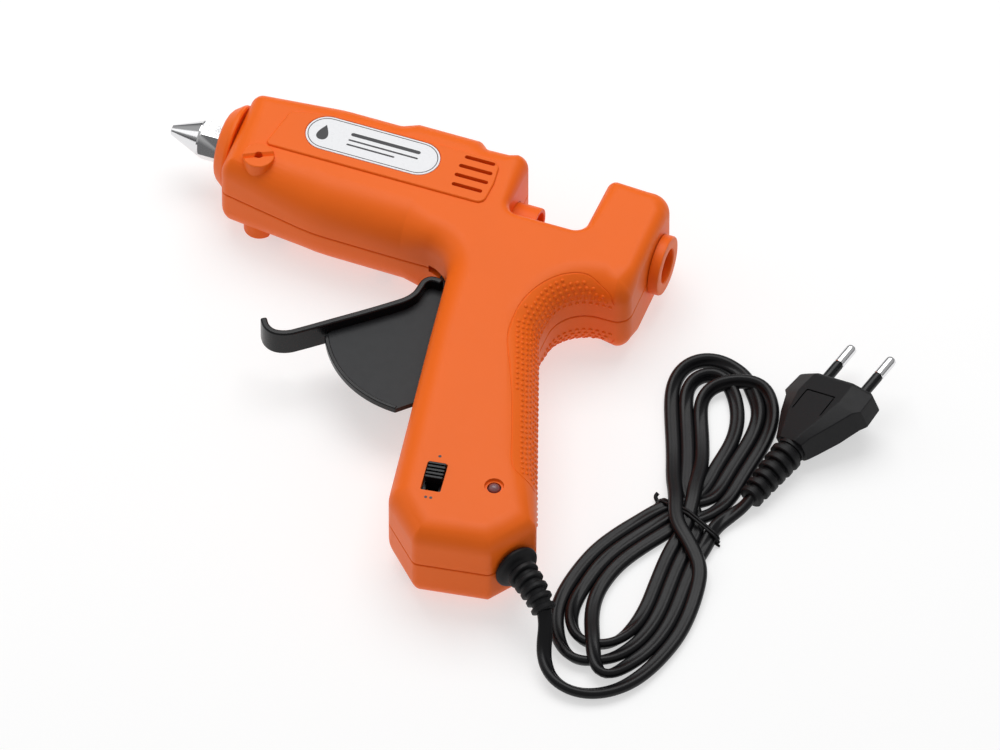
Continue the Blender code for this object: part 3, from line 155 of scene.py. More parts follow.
def finish(name, colour, rough, metal=0.0, gloss=0.5, grain=2600, depth=0.00003, drift=0.03, wander=0.05,
           stretch=(1, 1, 1)):
    made = bpy.data.materials.new(name)
    made.use_nodes = True
    nodes, links = made.node_tree.nodes, made.node_tree.links
    shader = nodes["Principled BSDF"]
    shader.inputs["Metallic"].default_value = metal
    shader.inputs["Specular IOR Level"].default_value = gloss
    place = nodes.new("ShaderNodeTexCoord")
    turn = nodes.new("ShaderNodeMapping")
    turn.inputs["Scale"].default_value = stretch
    links.new(place.outputs["Object"], turn.inputs["Vector"])

    def noise(scale, detail):
        node = nodes.new("ShaderNodeTexNoise")
        node.inputs["Scale"].default_value = scale
        node.inputs["Detail"].default_value = detail
        links.new(turn.outputs["Vector"], node.inputs["Vector"])
        return node.outputs["Fac"]

    mix = nodes.new("ShaderNodeMix")
    mix.data_type = "RGBA"
    mix.inputs["A"].default_value = (*[c * (1 - drift) for c in colour], 1)
    mix.inputs["B"].default_value = (*[min(1, c * (1 + drift)) for c in colour], 1)
    links.new(noise(45, 3), mix.inputs["Factor"])
    links.new(mix.outputs["Result"], shader.inputs["Base Color"])
    span = nodes.new("ShaderNodeMapRange")
    span.inputs["To Min"].default_value = rough - wander
    span.inputs["To Max"].default_value = rough + wander
    links.new(noise(380, 4), span.inputs["Value"])
    links.new(span.outputs["Result"], shader.inputs["Roughness"])
    bump = nodes.new("ShaderNodeBump")
    bump.inputs["Strength"].default_value = 1.0
    bump.inputs["Distance"].default_value = depth
    links.new(noise(grain, 2), bump.inputs["Height"])
    links.new(bump.outputs["Normal"], shader.inputs["Normal"])
    return made


ORANGE = finish("orange_abs", (0.93, 0.148, 0.006), 0.45, gloss=0.25, depth=0.00002)
SATIN_BLACK = finish("satin_black", (0.004, 0.004, 0.005), 0.28, gloss=0.3, grain=1800, depth=0.00001)
WEB_GREY = finish("web_grey", (0.014, 0.015, 0.017), 0.45, gloss=0.3, depth=0.00002)
SOFT_BLACK = finish("soft_black", (0.006, 0.006, 0.007), 0.5, gloss=0.25, grain=1500, depth=0.00003)
CORD_BLACK = finish("cord_pvc", (0.004, 0.004, 0.005), 0.34, gloss=0.25, grain=1200, depth=0.00002)
CHROME = finish("chrome_plate", (0.78, 0.78, 0.79), 0.13, metal=1, grain=900, depth=0.000004, wander=0.04)
STEEL = finish("zinc_steel", (0.55, 0.55, 0.56), 0.32, metal=1, grain=1400, depth=0.00001)
CAST = finish("cast_aluminium", (0.6, 0.61, 0.63), 0.45, metal=1, grain=900, depth=0.00006)
LABEL_WHITE = finish("white_label", (0.86, 0.865, 0.885), 0.28, grain=700, depth=0.000004, drift=0.01)
INK = finish("dark_ink", (0.03, 0.03, 0.035), 0.45, depth=0.000002)
SILICONE = finish("red_silicone", (0.5, 0.07, 0.04), 0.6)
CERAMIC = finish("fired_ceramic", (0.78, 0.76, 0.7), 0.75, grain=1200, depth=0.00005)
NYLON = finish("natural_nylon", (0.7, 0.69, 0.63), 0.45)
LENS = finish("tinted_lens", (0.22, 0.10, 0.11), 0.16, grain=800, depth=0.000005)
BLUE = finish("blue_wire", (0.04, 0.1, 0.45), 0.4)
BROWN = finish("brown_wire", (0.13, 0.045, 0.02), 0.4)
SLEEVING = finish("glass_sleeving", (0.72, 0.71, 0.66), 0.8, grain=1500, depth=0.0001, stretch=(1, 1, 3))
print("finishes:", len(bpy.data.materials))

# %% [markdown]
# Solids whose shape is right keep their mesh and take a finish by their material slot.

# %% Finishes for the solids that stay
BY_SLOT = {
    "orange_plastic": ORANGE, "black_plastic": SATIN_BLACK, "chrome": CHROME, "aluminium": CAST,
    "spring_steel": STEEL, "silicone": SILICONE, "white_print": LABEL_WHITE, "ceramic": CERAMIC, "lamp": LENS,
    "cord": CORD_BLACK, "nylon": NYLON, "wire_blue": BLUE, "wire_brown": BROWN, "wire_white": SLEEVING,
}
SLOT_OF = {part["node"]: part["material_slot"] for part in frame["record"]["subparts"]}
for node_name, node in frame["nodes"].items():
    node.data.materials.clear()
    node.data.materials.append(BY_SLOT[SLOT_OF[node_name]])
print("finished", len(SLOT_OF), "solids")

# %% [markdown]
# Helpers for hand modelling. A new mesh object is made active alone; `settle` applies what is on it, puts the
# mesh in the model's frame and joins it to its body.

# %% Helpers


def active(piece):
    bpy.ops.object.select_all(action="DESELECT")
    piece.select_set(True)
    bpy.context.view_layer.objects.active = piece


def new_mesh(name, verts, edges=(), faces=()):
    data = bpy.data.meshes.new(name)
    data.from_pydata([tuple(v) for v in verts], list(edges), list(faces))
    piece = bpy.data.objects.new(name, data)
    bpy.context.scene.collection.objects.link(piece)
    active(piece)
    return piece


def edit(piece, action):
    """Run an edit-mode action on the whole of a piece."""
    active(piece)
    bpy.ops.object.mode_set(mode="EDIT")
    bpy.ops.mesh.select_all(action="SELECT")
    action()
    bpy.ops.object.mode_set(mode="OBJECT")
    return piece


def tidy_faces():
    bpy.ops.mesh.remove_doubles(threshold=0.002)
    bpy.ops.mesh.normals_make_consistent(inside=False)


def lathe(name, profile, steps=64, centre=(0, 0, 0)):
    """Spin a profile of (distance along x, radius) round the x axis."""
    closed = profile[0][1] > 0 and profile[-1][1] > 0
    count = len(profile)
    edges = [(i, (i + 1) % count) for i in range(count if closed else count - 1)]
    piece = new_mesh(name, [(x, r, 0) for x, r in profile], edges)

    def spin():
        bpy.ops.mesh.spin(steps=steps, angle=2 * math.pi, center=(0, 0, 0), axis=(1, 0, 0))
        tidy_faces()

    edit(piece, spin)
    piece.data.transform(Matrix.Translation(centre))
    return piece


def prism(name, outline, low, high):
    """Extrude a flat outline from z low to z high."""
    piece = new_mesh(name, [(x, y, low) for x, y in outline], faces=[range(len(outline))])

    def raise_it():
        bpy.ops.mesh.extrude_region_move(TRANSFORM_OT_translate={"value": (0, 0, high - low)})
        bpy.ops.mesh.select_all(action="SELECT")
        bpy.ops.mesh.normals_make_consistent(inside=False)

    return edit(piece, raise_it)


def rod(name, start, end, radius, end_radius=None, sides=48):
    start, end = Vector(start), Vector(end)
    bpy.ops.object.select_all(action="DESELECT")
    bpy.ops.mesh.primitive_cone_add(
        vertices=sides, radius1=radius, radius2=radius if end_radius is None else end_radius,
        depth=(end - start).length, location=(start + end) / 2,
        rotation=(end - start).to_track_quat("Z", "Y").to_euler())
    piece = bpy.context.object
    piece.name = name
    bpy.ops.object.transform_apply(location=True, rotation=True, scale=True)
    return piece


def through(name, centre, reach, radius, sides=48):
    """A rod along z that passes a centre by the same reach either way."""
    return rod(name, centre - Vector((0, 0, reach)), centre + Vector((0, 0, reach)), radius, sides=sides)


def joined(pieces):
    active(pieces[0])
    for piece in pieces:
        piece.select_set(True)
    bpy.ops.object.join()
    return pieces[0]


def apply_all(piece):
    active(piece)
    for step in list(piece.modifiers):
        bpy.ops.object.modifier_apply(modifier=step.name)


def bevel(piece, width, segments=3, angle=30):
    step = piece.modifiers.new("soft_edges", "BEVEL")
    step.width = width
    step.segments = segments
    step.limit_method = "ANGLE"
    step.angle_limit = math.radians(angle)
    apply_all(piece)
    return piece


def cut(piece, tool, operation="DIFFERENCE"):
    step = piece.modifiers.new("cut", "BOOLEAN")
    step.operation = operation
    step.solver = "EXACT"
    step.object = tool
    apply_all(piece)
    bpy.data.objects.remove(tool, do_unlink=True)
    return piece


def settle(piece, body, material, stands_for=(), smooth=35, weighted=True):
    active(piece)
    apply_all(piece)
    piece.data.materials.clear()
    piece.data.materials.append(material)
    for face in piece.data.polygons:
        face.material_index = 0
    bpy.ops.object.shade_smooth_by_angle(angle=math.radians(smooth))
    if weighted:
        step = piece.modifiers.new("even_shading", "WEIGHTED_NORMAL")
        step.keep_sharp = True
        bpy.ops.object.modifier_apply(modifier=step.name)
    piece.data.transform(TO_MODEL)
    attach(piece, body)
    if stands_for:
        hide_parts(*stands_for)
    print(piece.name, len(piece.data.polygons), "faces")
    return piece


def smooth_route(points, spacing):
    """Points every `spacing` along a smooth curve through the given points, of any number of values each."""
    fixed = np.array(points, float)
    ends = np.vstack([fixed[:1], fixed, fixed[-1:]])
    fine = []
    for p0, p1, p2, p3 in zip(ends, ends[1:], ends[2:], ends[3:]):
        for t in np.arange(0, 1, 1 / 16):
            fine.append((2 * t**3 - 3 * t**2 + 1) * p1 + (t**3 - 2 * t**2 + t) * (p2 - p0) / 2
                        + (3 * t**2 - 2 * t**3) * p2 + (t**3 - t**2) * (p3 - p1) / 2)
    fine = np.array(fine + [fixed[-1]])
    walked = np.concatenate([[0], np.cumsum(np.linalg.norm(np.diff(fine[:, :3], axis=0), axis=1))])
    stops = np.linspace(0, walked[-1], max(3, round(walked[-1] / spacing) + 1))
    return np.stack([np.interp(stops, walked, fine[:, k]) for k in range(fine.shape[1])], axis=1)


def sweep(name, path, sections, closed=False):
    """Skin a tube: each path point carries its own section, a list of (sideways, upwards) offsets."""
    path = np.array(path, float)
    if closed:
        along = np.roll(path, -1, axis=0) - np.roll(path, 1, axis=0)
    else:
        along = np.gradient(path, axis=0)
    along /= np.linalg.norm(along, axis=1)[:, None]
    verts = []
    for point, t, section in zip(path, along, sections):
        side = np.cross(t, (0, 0, 1))
        side = side / np.linalg.norm(side) if np.linalg.norm(side) > 1e-6 else np.array((1.0, 0, 0))
        up = np.cross(side, t)
        verts += [point + side * a + up * b for a, b in section]
    count, size = len(path), len(sections[0])
    faces = []
    for i in range(count if closed else count - 1):
        j = (i + 1) % count
        for k in range(size):
            m = (k + 1) % size
            faces.append((i * size + k, i * size + m, j * size + m, j * size + k))
    if not closed:
        faces += [tuple(range(size)), tuple(range(count * size - size, count * size))]
    piece = new_mesh(name, verts, faces=faces)
    return edit(piece, lambda: bpy.ops.mesh.normals_make_consistent(inside=False))


def circle(radius, sides=16):
    return [(radius * math.cos(2 * math.pi * k / sides), radius * math.sin(2 * math.pi * k / sides))
            for k in range(sides)]


# %% [markdown]
# ## The cord
# A flat twin cord: two round cores side by side in one black PVC skin, 5.4 mm wide and 3.4 mm thick, with a
# fine groove along each face. It leaves the butt through a ribbed sleeve and is folded in a hank of figure-
# eight turns, tied at its waist, with the plug beside it. First comes its plan, as smooth turns. Beside each
# place stands its rank: where two passes cross, the higher rank lies on top.

# %% The cord's plan
LEAD = [(23.0, -180.0, 0), (30.0, -181.8, 0), (37.5, -180.3, 0),
        (45.0, -175.0, 0), (50.3, -166.5, 0), (53.5, -156.5, 0), (54.7, -145.0, 0), (53.8, -133.0, 0),
        (51.4, -122.0, 0.2), (48.6, -111.0, 1.4), (44.6, -102.0, 2.2), (40.2, -94.0, 2.4), (35.6, -85.0, 2.2)]
TURN_A = [(29.6, -71.0, 1.4), (25.2, -61.0, 0.7), (21.0, -51.0, 0.3), (17.3, -42.5, 0.1), (15.6, -35.0, 0.1),
          (16.5, -28.5, 0.1), (19.8, -24.0, 0.1), (25.3, -21.6, 0.1), (31.3, -22.2, 0.1), (37.8, -24.7, 0.1),
          (43.8, -28.7, 0.1), (48.2, -34.5, 0.1), (50.2, -42.0, 0.1), (50.0, -52.0, 0.1), (48.2, -63.0, 0.1),
          (45.6, -74.0, 0.1), (42.2, -84.0, 0.1)]
TURN_1 = [(35.4, -92.0, 0.1), (31.4, -98.5, 0.1), (24.2, -106.5, 0.1), (17.6, -117.0, 0.1), (13.8, -129.0, 0.1),
          (12.4, -141.0, 0.1), (13.8, -151.0, 0.1), (17.4, -159.5, 0.1), (21.8, -165.0, 0.1), (27.3, -167.6, 0.1),
          (33.3, -166.8, 0.1), (39.3, -162.5, 0.1), (43.8, -155.5, 0.1), (47.2, -146.0, 0.1), (48.4, -135.0, 0.1),
          (47.6, -123.0, 0.1), (46.0, -111.0, 0.3), (44.0, -100.0, 0.6), (41.6, -91.0, 0.9), (39.0, -82.0, 0.9)]
TURN_B = [(36.0, -74.0, 0.6), (32.6, -66.0, 0.5), (28.8, -57.0, 0.5), (24.6, -48.0, 0.5), (21.3, -40.0, 0.5),
          (21.0, -34.5, 0.5), (23.3, -30.4, 0.5), (27.5, -28.8, 0.5), (32.0, -30.2, 0.5), (36.3, -34.0, 0.5),
          (40.2, -40.0, 0.5), (42.8, -47.0, 0.5), (43.8, -55.0, 0.5), (43.0, -64.0, 0.5), (41.4, -73.0, 0.5),
          (40.6, -81.0, 0.4), (39.4, -89.0, 0.3)]
TURN_2 = [(36.6, -96.0, 0.3), (31.6, -103.5, 0.4), (26.0, -112.0, 0.4), (20.8, -122.0, 0.4), (18.4, -133.0, 0.4),
          (17.4, -143.0, 0.4), (18.8, -150.5, 0.4), (22.6, -156.0, 0.4), (28.3, -158.6, 0.4), (34.0, -157.2, 0.4),
          (38.6, -152.6, 0.4), (41.0, -145.0, 0.4), (42.0, -136.0, 0.4), (42.2, -126.0, 0.4), (42.6, -115.0, 0.6),
          (42.8, -105.0, 1.0), (42.2, -96.0, 1.3), (41.2, -88.0, 1.4)]
TURN_C = [(39.4, -78.5, 1.4), (36.8, -70.0, 1.2), (33.4, -61.0, 1.1), (29.9, -52.0, 1.0), (27.4, -44.0, 1.0),
          (27.4, -38.0, 1.0), (30.0, -32.6, 1.0), (35.0, -29.6, 1.0), (41.0, -29.6, 1.0), (46.6, -32.6, 1.0),
          (51.0, -38.5, 1.0), (53.2, -46.0, 1.0), (53.2, -55.0, 1.0), (51.4, -64.5, 1.0), (49.0, -73.5, 1.0),
          (46.8, -81.5, 1.0), (44.0, -88.5, 1.0)]
TURN_3 = [(38.6, -94.5, 1.0), (33.0, -101.0, 1.0), (28.4, -109.0, 0.9), (25.0, -118.0, 0.9), (23.2, -128.5, 0.9),
          (23.2, -139.0, 0.9), (26.0, -150.0, 0.9), (29.7, -160.0, 0.9), (33.0, -167.0, 0.9), (37.2, -170.6, 0.9),
          (40.8, -169.0, 0.9), (44.0, -163.0, 0.9), (48.2, -154.5, 0.9), (51.0, -144.5, 0.5), (51.6, -134.0, 0.3),
          (50.8, -123.0, 0.3), (49.6, -112.0, 0.2), (48.4, -102.0, 0.2), (49.0, -94.5, 0.2)]
print("turns:", len([LEAD, TURN_A, TURN_1, TURN_B, TURN_2, TURN_C, TURN_3]))

# %% [markdown]
# A cord on a table isn't drawn, it settles. Each point of the route sinks by its weight and is drawn level
# with its neighbours by the cord's stiffness. Where two passes would share the same room they push each other
# apart, up and down or sideways, and the table holds them up. A few hundred rounds leave long low humps where
# the passes cross. The first and last stretches are held by the sleeve and the plug.

# %% Settle the cord
CORE, APART, WIDE, THICK = 1.7, 1.0, 5.4, 3.4
EXIT = Vector((12.62, -160.62, -4.1))
EXIT_WAY = Vector((0.634, -0.626, -0.454))
PLUG_TURN = (Matrix.Translation((74.2, -26.2, TABLE + 11.0)) @ Matrix.Rotation(math.radians(74), 4, "Z")
             @ Matrix.Rotation(math.radians(-7), 4, "Y") @ Matrix.Rotation(math.radians(-20), 4, "X"))
TAIL_END = PLUG_TURN @ Vector((-54.0, 0, 0))
TAIL_WAY = PLUG_TURN.to_3x3() @ Vector((-1, 0, 0))
REST = TABLE + 0.05 + THICK / 2


def placed(points):
    return [(x, y, REST + rank * THICK * 0.8, rank) for x, y, rank in points]


start = [(*EXIT, 0), (*(EXIT + EXIT_WAY * 2.5), 0), (15.0, -166.2, -9.2, 0), (16.0, -170.6, -13.0, 0),
         (18.6, -175.6, -16.4, 0)]
finish_points = [(*(TAIL_END + TAIL_WAY * 5 + Vector((0, 0, -1))), 0.2), (*TAIL_END, 0.2)]
route = smooth_route(start + placed(LEAD + TURN_A + TURN_1 + TURN_B + TURN_2 + TURN_C + TURN_3) + finish_points, 2.0)
count = len(route)
plan, rank = route[:, :2].copy(), route[:, 3]
first_free, last_free = 9, count - 5
gap = np.linalg.norm(plan[:, None] - plan[None], axis=2)
pairs = np.argwhere(np.triu(gap < 9, 10))
one, two = pairs[:, 0], pairs[:, 1]
bend = np.gradient(np.unwrap(np.arctan2(*np.gradient(plan, axis=0).T[::-1]))) / 2.0
roll = np.radians(62) * np.clip((np.abs(bend) - 0.015) / 0.06, 0, 1) * np.sign(bend)
for _ in range(12):
    roll[1:-1] = (roll[:-2] + 2 * roll[1:-1] + roll[2:]) / 4
roll[:first_free] *= np.linspace(0, 1, first_free)
floor_height = REST + APART * np.abs(np.sin(roll))
settled = route[:, :3].copy()
section = np.array((WIDE - 0.3, WIDE - 0.3, THICK))
for _ in range(500):
    moved = settled - route[:, :3]
    moved[1:-1, :2] += 0.4 * ((moved[:-2, :2] + moved[2:, :2]) / 2 - moved[1:-1, :2])
    settled[:, :2] = plan + 0.985 * moved[:, :2]
    for reach in (1, 3):
        level = (settled[:-2 * reach, 2] + settled[2 * reach:, 2]) / 2
        settled[reach:-reach, 2] += 0.35 * (level - settled[reach:-reach, 2])
    settled[:, 2] -= 0.06
    apart = (settled[one] - settled[two]) / section
    share = np.maximum(np.linalg.norm(apart, axis=1), 0.05)
    push = np.where(share < 1, (1 - share) / share, 0)[:, None] * apart * section / 2
    total, touches = np.zeros((count, 3)), np.zeros(count)
    for ends, sign in ((one, 1), (two, -1)):
        np.add.at(total, ends, sign * push)
        np.add.at(touches, ends, share < 1)
    settled += 1.6 * total / np.maximum(touches, 1)[:, None]
    settled[:, 2] = np.maximum(settled[:, 2], floor_height)
    settled[:first_free] = route[:first_free, :3]
    settled[last_free:] = route[last_free:, :3]
for _ in range(6):
    settled[1:-1] = (settled[:-2] + 2 * settled[1:-1] + settled[2:]) / 4
route[:, :3] = settled

# %% [markdown]
# The settled line is skinned with the twin section. At the ends of the turns a flat cord tips up on its edge,
# so the section rolls with the bend.

# %% Skin the cord
fine = smooth_route(np.column_stack([route[:, :3], roll]), 1.4)
half = math.acos(-APART / CORE)
twin = []
for lobe in (1, -1):
    for k in range(10):
        angle = (0 if lobe > 0 else math.pi) - half + 2 * half * k / 10
        twin.append((lobe * APART + CORE * math.cos(angle), CORE * math.sin(angle)))
sections = []
for turn in fine[:, 3]:
    c, s = math.cos(turn), math.sin(turn)
    sections.append([(a * c - b * s, a * s + b * c) for a, b in twin])
mains_cord = sweep("mains_cord", fine[:, :3], sections)
settle(mains_cord, "housing", CORD_BLACK, ("cord_lead", "cord_hank", "cord_tail"), smooth=60, weighted=False)

# %% [markdown]
# ## The tie
# A thin black wire goes twice round the waist, below the last strand that was laid on top. Its loop is the
# tight outline round the strands that pass through it, found as the hull of one ring of points per strand.

# %% Tie round the waist
TIE_FROM, TIE_TO = np.array((29.0, -89.4)), np.array((49.6, -97.8))


def hull(points):
    points = sorted(set(points))
    chains = []
    for line in (points, points[::-1]):
        chain = []
        for p in line:
            while len(chain) > 1 and ((chain[-1][0] - chain[-2][0]) * (p[1] - chain[-2][1])
                                      - (chain[-1][1] - chain[-2][1]) * (p[0] - chain[-2][0])) <= 0:
                chain.pop()
            chain.append(p)
        chains += chain[:-1]
    return chains


def tie_loop(shift):
    way = (TIE_TO - TIE_FROM) / np.linalg.norm(TIE_TO - TIE_FROM)
    square = np.array((-way[1], way[0]))
    ring = []
    for (x, y, z, _), order in zip(fine, fine_rank):
        offset = np.array((x, y)) - TIE_FROM - square * shift
        if abs(offset @ square) < 1.0 and -4 < offset @ way < 26 and order < 1.9:
            ring += [(round(offset @ way + 3.2 * a, 3), round(max(z + 2.25 * b, TABLE + 0.5), 3))
                     for a, b in circle(1.0, 20)]
    loop = [(*(TIE_FROM + square * shift + way * a), b) for a, b in hull(ring)]
    return smooth_route(loop + loop[:1], 0.9)[:-1]


fine_rank = np.interp(np.linspace(0, 1, len(fine)), np.linspace(0, 1, count), rank)
bands = [sweep(f"tie_band_{k}", tie_loop(1.1 * k), [circle(0.5, 10)] * len(tie_loop(1.1 * k)), closed=True)
         for k in (0, 1)]
edge = min(tie_loop(0.5), key=lambda p: p[0])
twist = [tuple(edge + np.array(step)) for step in ((0, 0, 0), (-0.9, 0.6, 0.5), (-1.6, 1.6, 1.0), (-1.2, 2.8, 1.5))]
bands.append(sweep("tie_twist", smooth_route(twist, 0.6), [circle(0.75, 10)] * len(smooth_route(twist, 0.6))))
tie = joined(bands)
tie.name = "cord_tie_wire"
settle(tie, "housing", SOFT_BLACK, ("cord_tie",), smooth=60, weighted=False)

# %% [markdown]
# ## The moulded halves
# Each half is a shell whose outline is a closed run of corners, with its own corner radius and its own edge
# radius at each. A ring of that outline at one height, then rings further in and higher up round the edge,
# make the whole outer form at once. The same rings moved in by the wall make the hollow. Where the halves
# meet, the lowest ring is drawn in a quarter of a millimetre, which leaves the fine seam.

# %% The outline's corners
FLAT, WALL, GAP = 18.0, 2.2, 0.3
REAR, BACK, FORE, FRONT = -4.0, -28.5, -57.5, -160.0
PIVOT = Vector((-70.0, -27.0, 0))
GRIP = FORE - 12.3
CORNERS = [
    (REAR, -31, 5.5, 9), (REAR, -19, 0, 5), (REAR, 8.8, 0, 5), (REAR, 18.8, 7.5, 6.5), (REAR - 10, 18.8, 0, 6.5),
    (BACK, 18.8, 3.5, 5.5), (BACK, -8.6, 4.5, 3.5), (FORE, -8.6, 4.5, 3.5), (FORE, 18.8, 5, 5.5),
    (FORE - 8, 18.8, 0, 7.5), (FORE - 16.1, 18.8, 2, 8), (FORE - 19.1, 21.5, 3, 8), (FORE - 43, 21.5, 4, 8),
    (FORE - 48.5, 18.8, 4, 8), (FRONT + 32, 18.8, 50, 8), (FRONT, 14.2, 4.5, 6.5), (FRONT, -21.8, 4, 9.5),
    (FRONT + 37, -29, 60, 14), (FORE - 32, -29.6, 20, 14), (GRIP, -29.6, 13, 9.5), (GRIP + 6.53, -70, 0, 8),
    (GRIP + 18.62, -144.8, 9, 9), (GRIP + 33.8, -159.8, 3.5, 8.5), (GRIP + 60.3, -155.8, 3, 8.5),
    (1.86, -139.3, 3, 8.5), (-8.14, -111.13, 0, 13), (BACK - 0.1, -53.5, 12, 13.5), (BACK - 0.1, -31, 14, 11),
]


def corner_run(before, here, after, inset, facet):
    point = Vector(here[:2])
    d1 = (point - Vector(before[:2])).normalized()
    d2 = (Vector(after[:2]) - point).normalized()
    n1, n2 = Vector((-d1.y, d1.x)), Vector((-d2.y, d2.x))
    mitre = (n1 + n2) / (1 + n1.dot(n2))
    turn = math.atan2(d1.x * d2.y - d1.y * d2.x, d1.dot(d2))
    if here[2] == 0 or abs(turn) < 0.01:
        return [point + mitre * inset]
    bulge = 1 if turn > 0 else -1
    radius = max(here[2] - inset * bulge, 0)
    centre = point + mitre * (inset + radius * bulge)
    steps = max(2, math.ceil(abs(turn) / facet))
    return [centre + Matrix.Rotation(turn * k / steps, 2) @ (n1 * -radius * bulge) for k in range(steps + 1)]


def outline_ring(inset_of, height_of, facet=math.radians(7)):
    """The body's outline, drawn in and raised at each corner by rules that take its edge radius."""
    ring = []
    for i, here in enumerate(CORNERS):
        run = corner_run(CORNERS[i - 1], here, CORNERS[(i + 1) % len(CORNERS)], inset_of(here[3]), facet)
        ring += [(p.x, p.y, height_of(here[3])) for p in run]
    return ring


def edge_rings(shrink, start, seam, rings=9):
    """(inset, height) rules from the seam, up the side and round the edge to the flat."""
    rules = [(lambda e: shrink + seam, lambda e: start)]
    if seam:
        rules.append((lambda e: shrink, lambda e: start + 0.3))
    for k in range(rings + 1):
        level = math.pi / 2 * k / rings
        rules.append((lambda e, c=math.cos(level): e - (e - shrink) * c,
                      lambda e, s=math.sin(level): FLAT - e + (e - shrink) * s))
    return rules


def body_form(name, side, shrink=0.0, start=0.15, seam=0.0, facet=math.radians(7)):
    verts, faces, size = [], [], 0
    for inset_of, height_of in edge_rings(shrink, start, seam):
        ring = outline_ring(inset_of, height_of, facet)
        size = len(ring)
        verts += [(x, y, side * z) for x, y, z in ring]
    for r in range(len(verts) // size - 1):
        for k in range(size):
            m = (k + 1) % size
            faces.append((r * size + k, r * size + m, r * size + size + m, r * size + size + k))
    faces += [tuple(range(size)), tuple(range(len(verts) - size, len(verts)))]
    piece = new_mesh(name, verts, faces=faces)
    return edit(piece, tidy_faces)


outer_skin = body_form("skin_probe", 1)
print("outer form", len(outer_skin.data.polygons), "faces")

# %% [markdown]
# Flat details are outlines too: strips with round ends for the vents and the label, leaning boxes for the
# switch, and the raised side panel, whose upper edge gets a soft bevel before it joins the shell.

# %% Outlines of the details
STAND = Vector((FRONT + 13, -16.5, 0))
LABEL = Vector((FORE - 53.5, 1.8, 0))
SWITCH = Vector((GRIP + 32, -134.2, 0))
LAMP = Vector((GRIP + 53, -130.9, 0))
LEAN = math.radians(8)
RELIEF_FACE = Vector((GRIP + 66.5, -147.6, 0))
RELIEF_OUT = Vector((0.813, -0.582, 0))
SCREWS = [(-138.5, -19.5), (-122, 13.3), (-97.5, -22.1), (-62.7, 13.5), (-22, 13.2), (-12.5, -23), (-39.1, -38.5),
          (-45.3, -103.8), (-41.3, -149.3)]


def strip(centre, long, wide, steps=12):
    points = []
    for side in (1, -1):
        for k in range(steps + 1):
            angle = -math.pi / 2 + math.pi * k / steps
            points.append((centre[0] + side * ((long - wide) / 2 + wide / 2 * math.cos(angle)),
                           centre[1] + side * wide / 2 * math.sin(angle)))
    return points


def soft_box(centre, tall, wide, corner, lean=0.0, steps=5):
    points = []
    for quarter, (sx, sy) in enumerate(((1, 1), (-1, 1), (-1, -1), (1, -1))):
        for k in range(steps + 1):
            angle = math.pi / 2 * (quarter + k / steps)
            p = Matrix.Rotation(lean, 2) @ Vector((sx * (wide / 2 - corner) + corner * math.cos(angle),
                                                   sy * (tall / 2 - corner) + corner * math.sin(angle)))
            points.append((centre[0] + p.x, centre[1] + p.y))
    return points


def panel():
    low, high, rear, front = -10.1, 10.6, FORE - 7.8, FRONT + 13
    points = [(front, low + 1.2), (front + 1.2, low)]
    for k in range(9):
        angle = math.radians(-90 + 90 * k / 8)
        points.append((rear - 3 + 3 * math.cos(angle), low + 3 + 3 * math.sin(angle)))
    points += [(rear + 0.3, 0), (rear - 0.6, high - 3), (rear - 3, high), (front + 16, high), (front + 3, high - 3.5)]
    return points


def levels(side, low, high):
    return min(side * low, side * high), max(side * low, side * high)


print("panel corners:", len(panel()))

# %% [markdown]
# The openings come last, one tool at a time: the melt chamber's way, the collar and stick holes, the lever's
# mouth and slot, the vents, the recess for the label. The left half also has the switch window and the lamp's
# dish, and the right half the sunk screw holes.

# %% Build both halves
COLLAR_BORE = 6.3


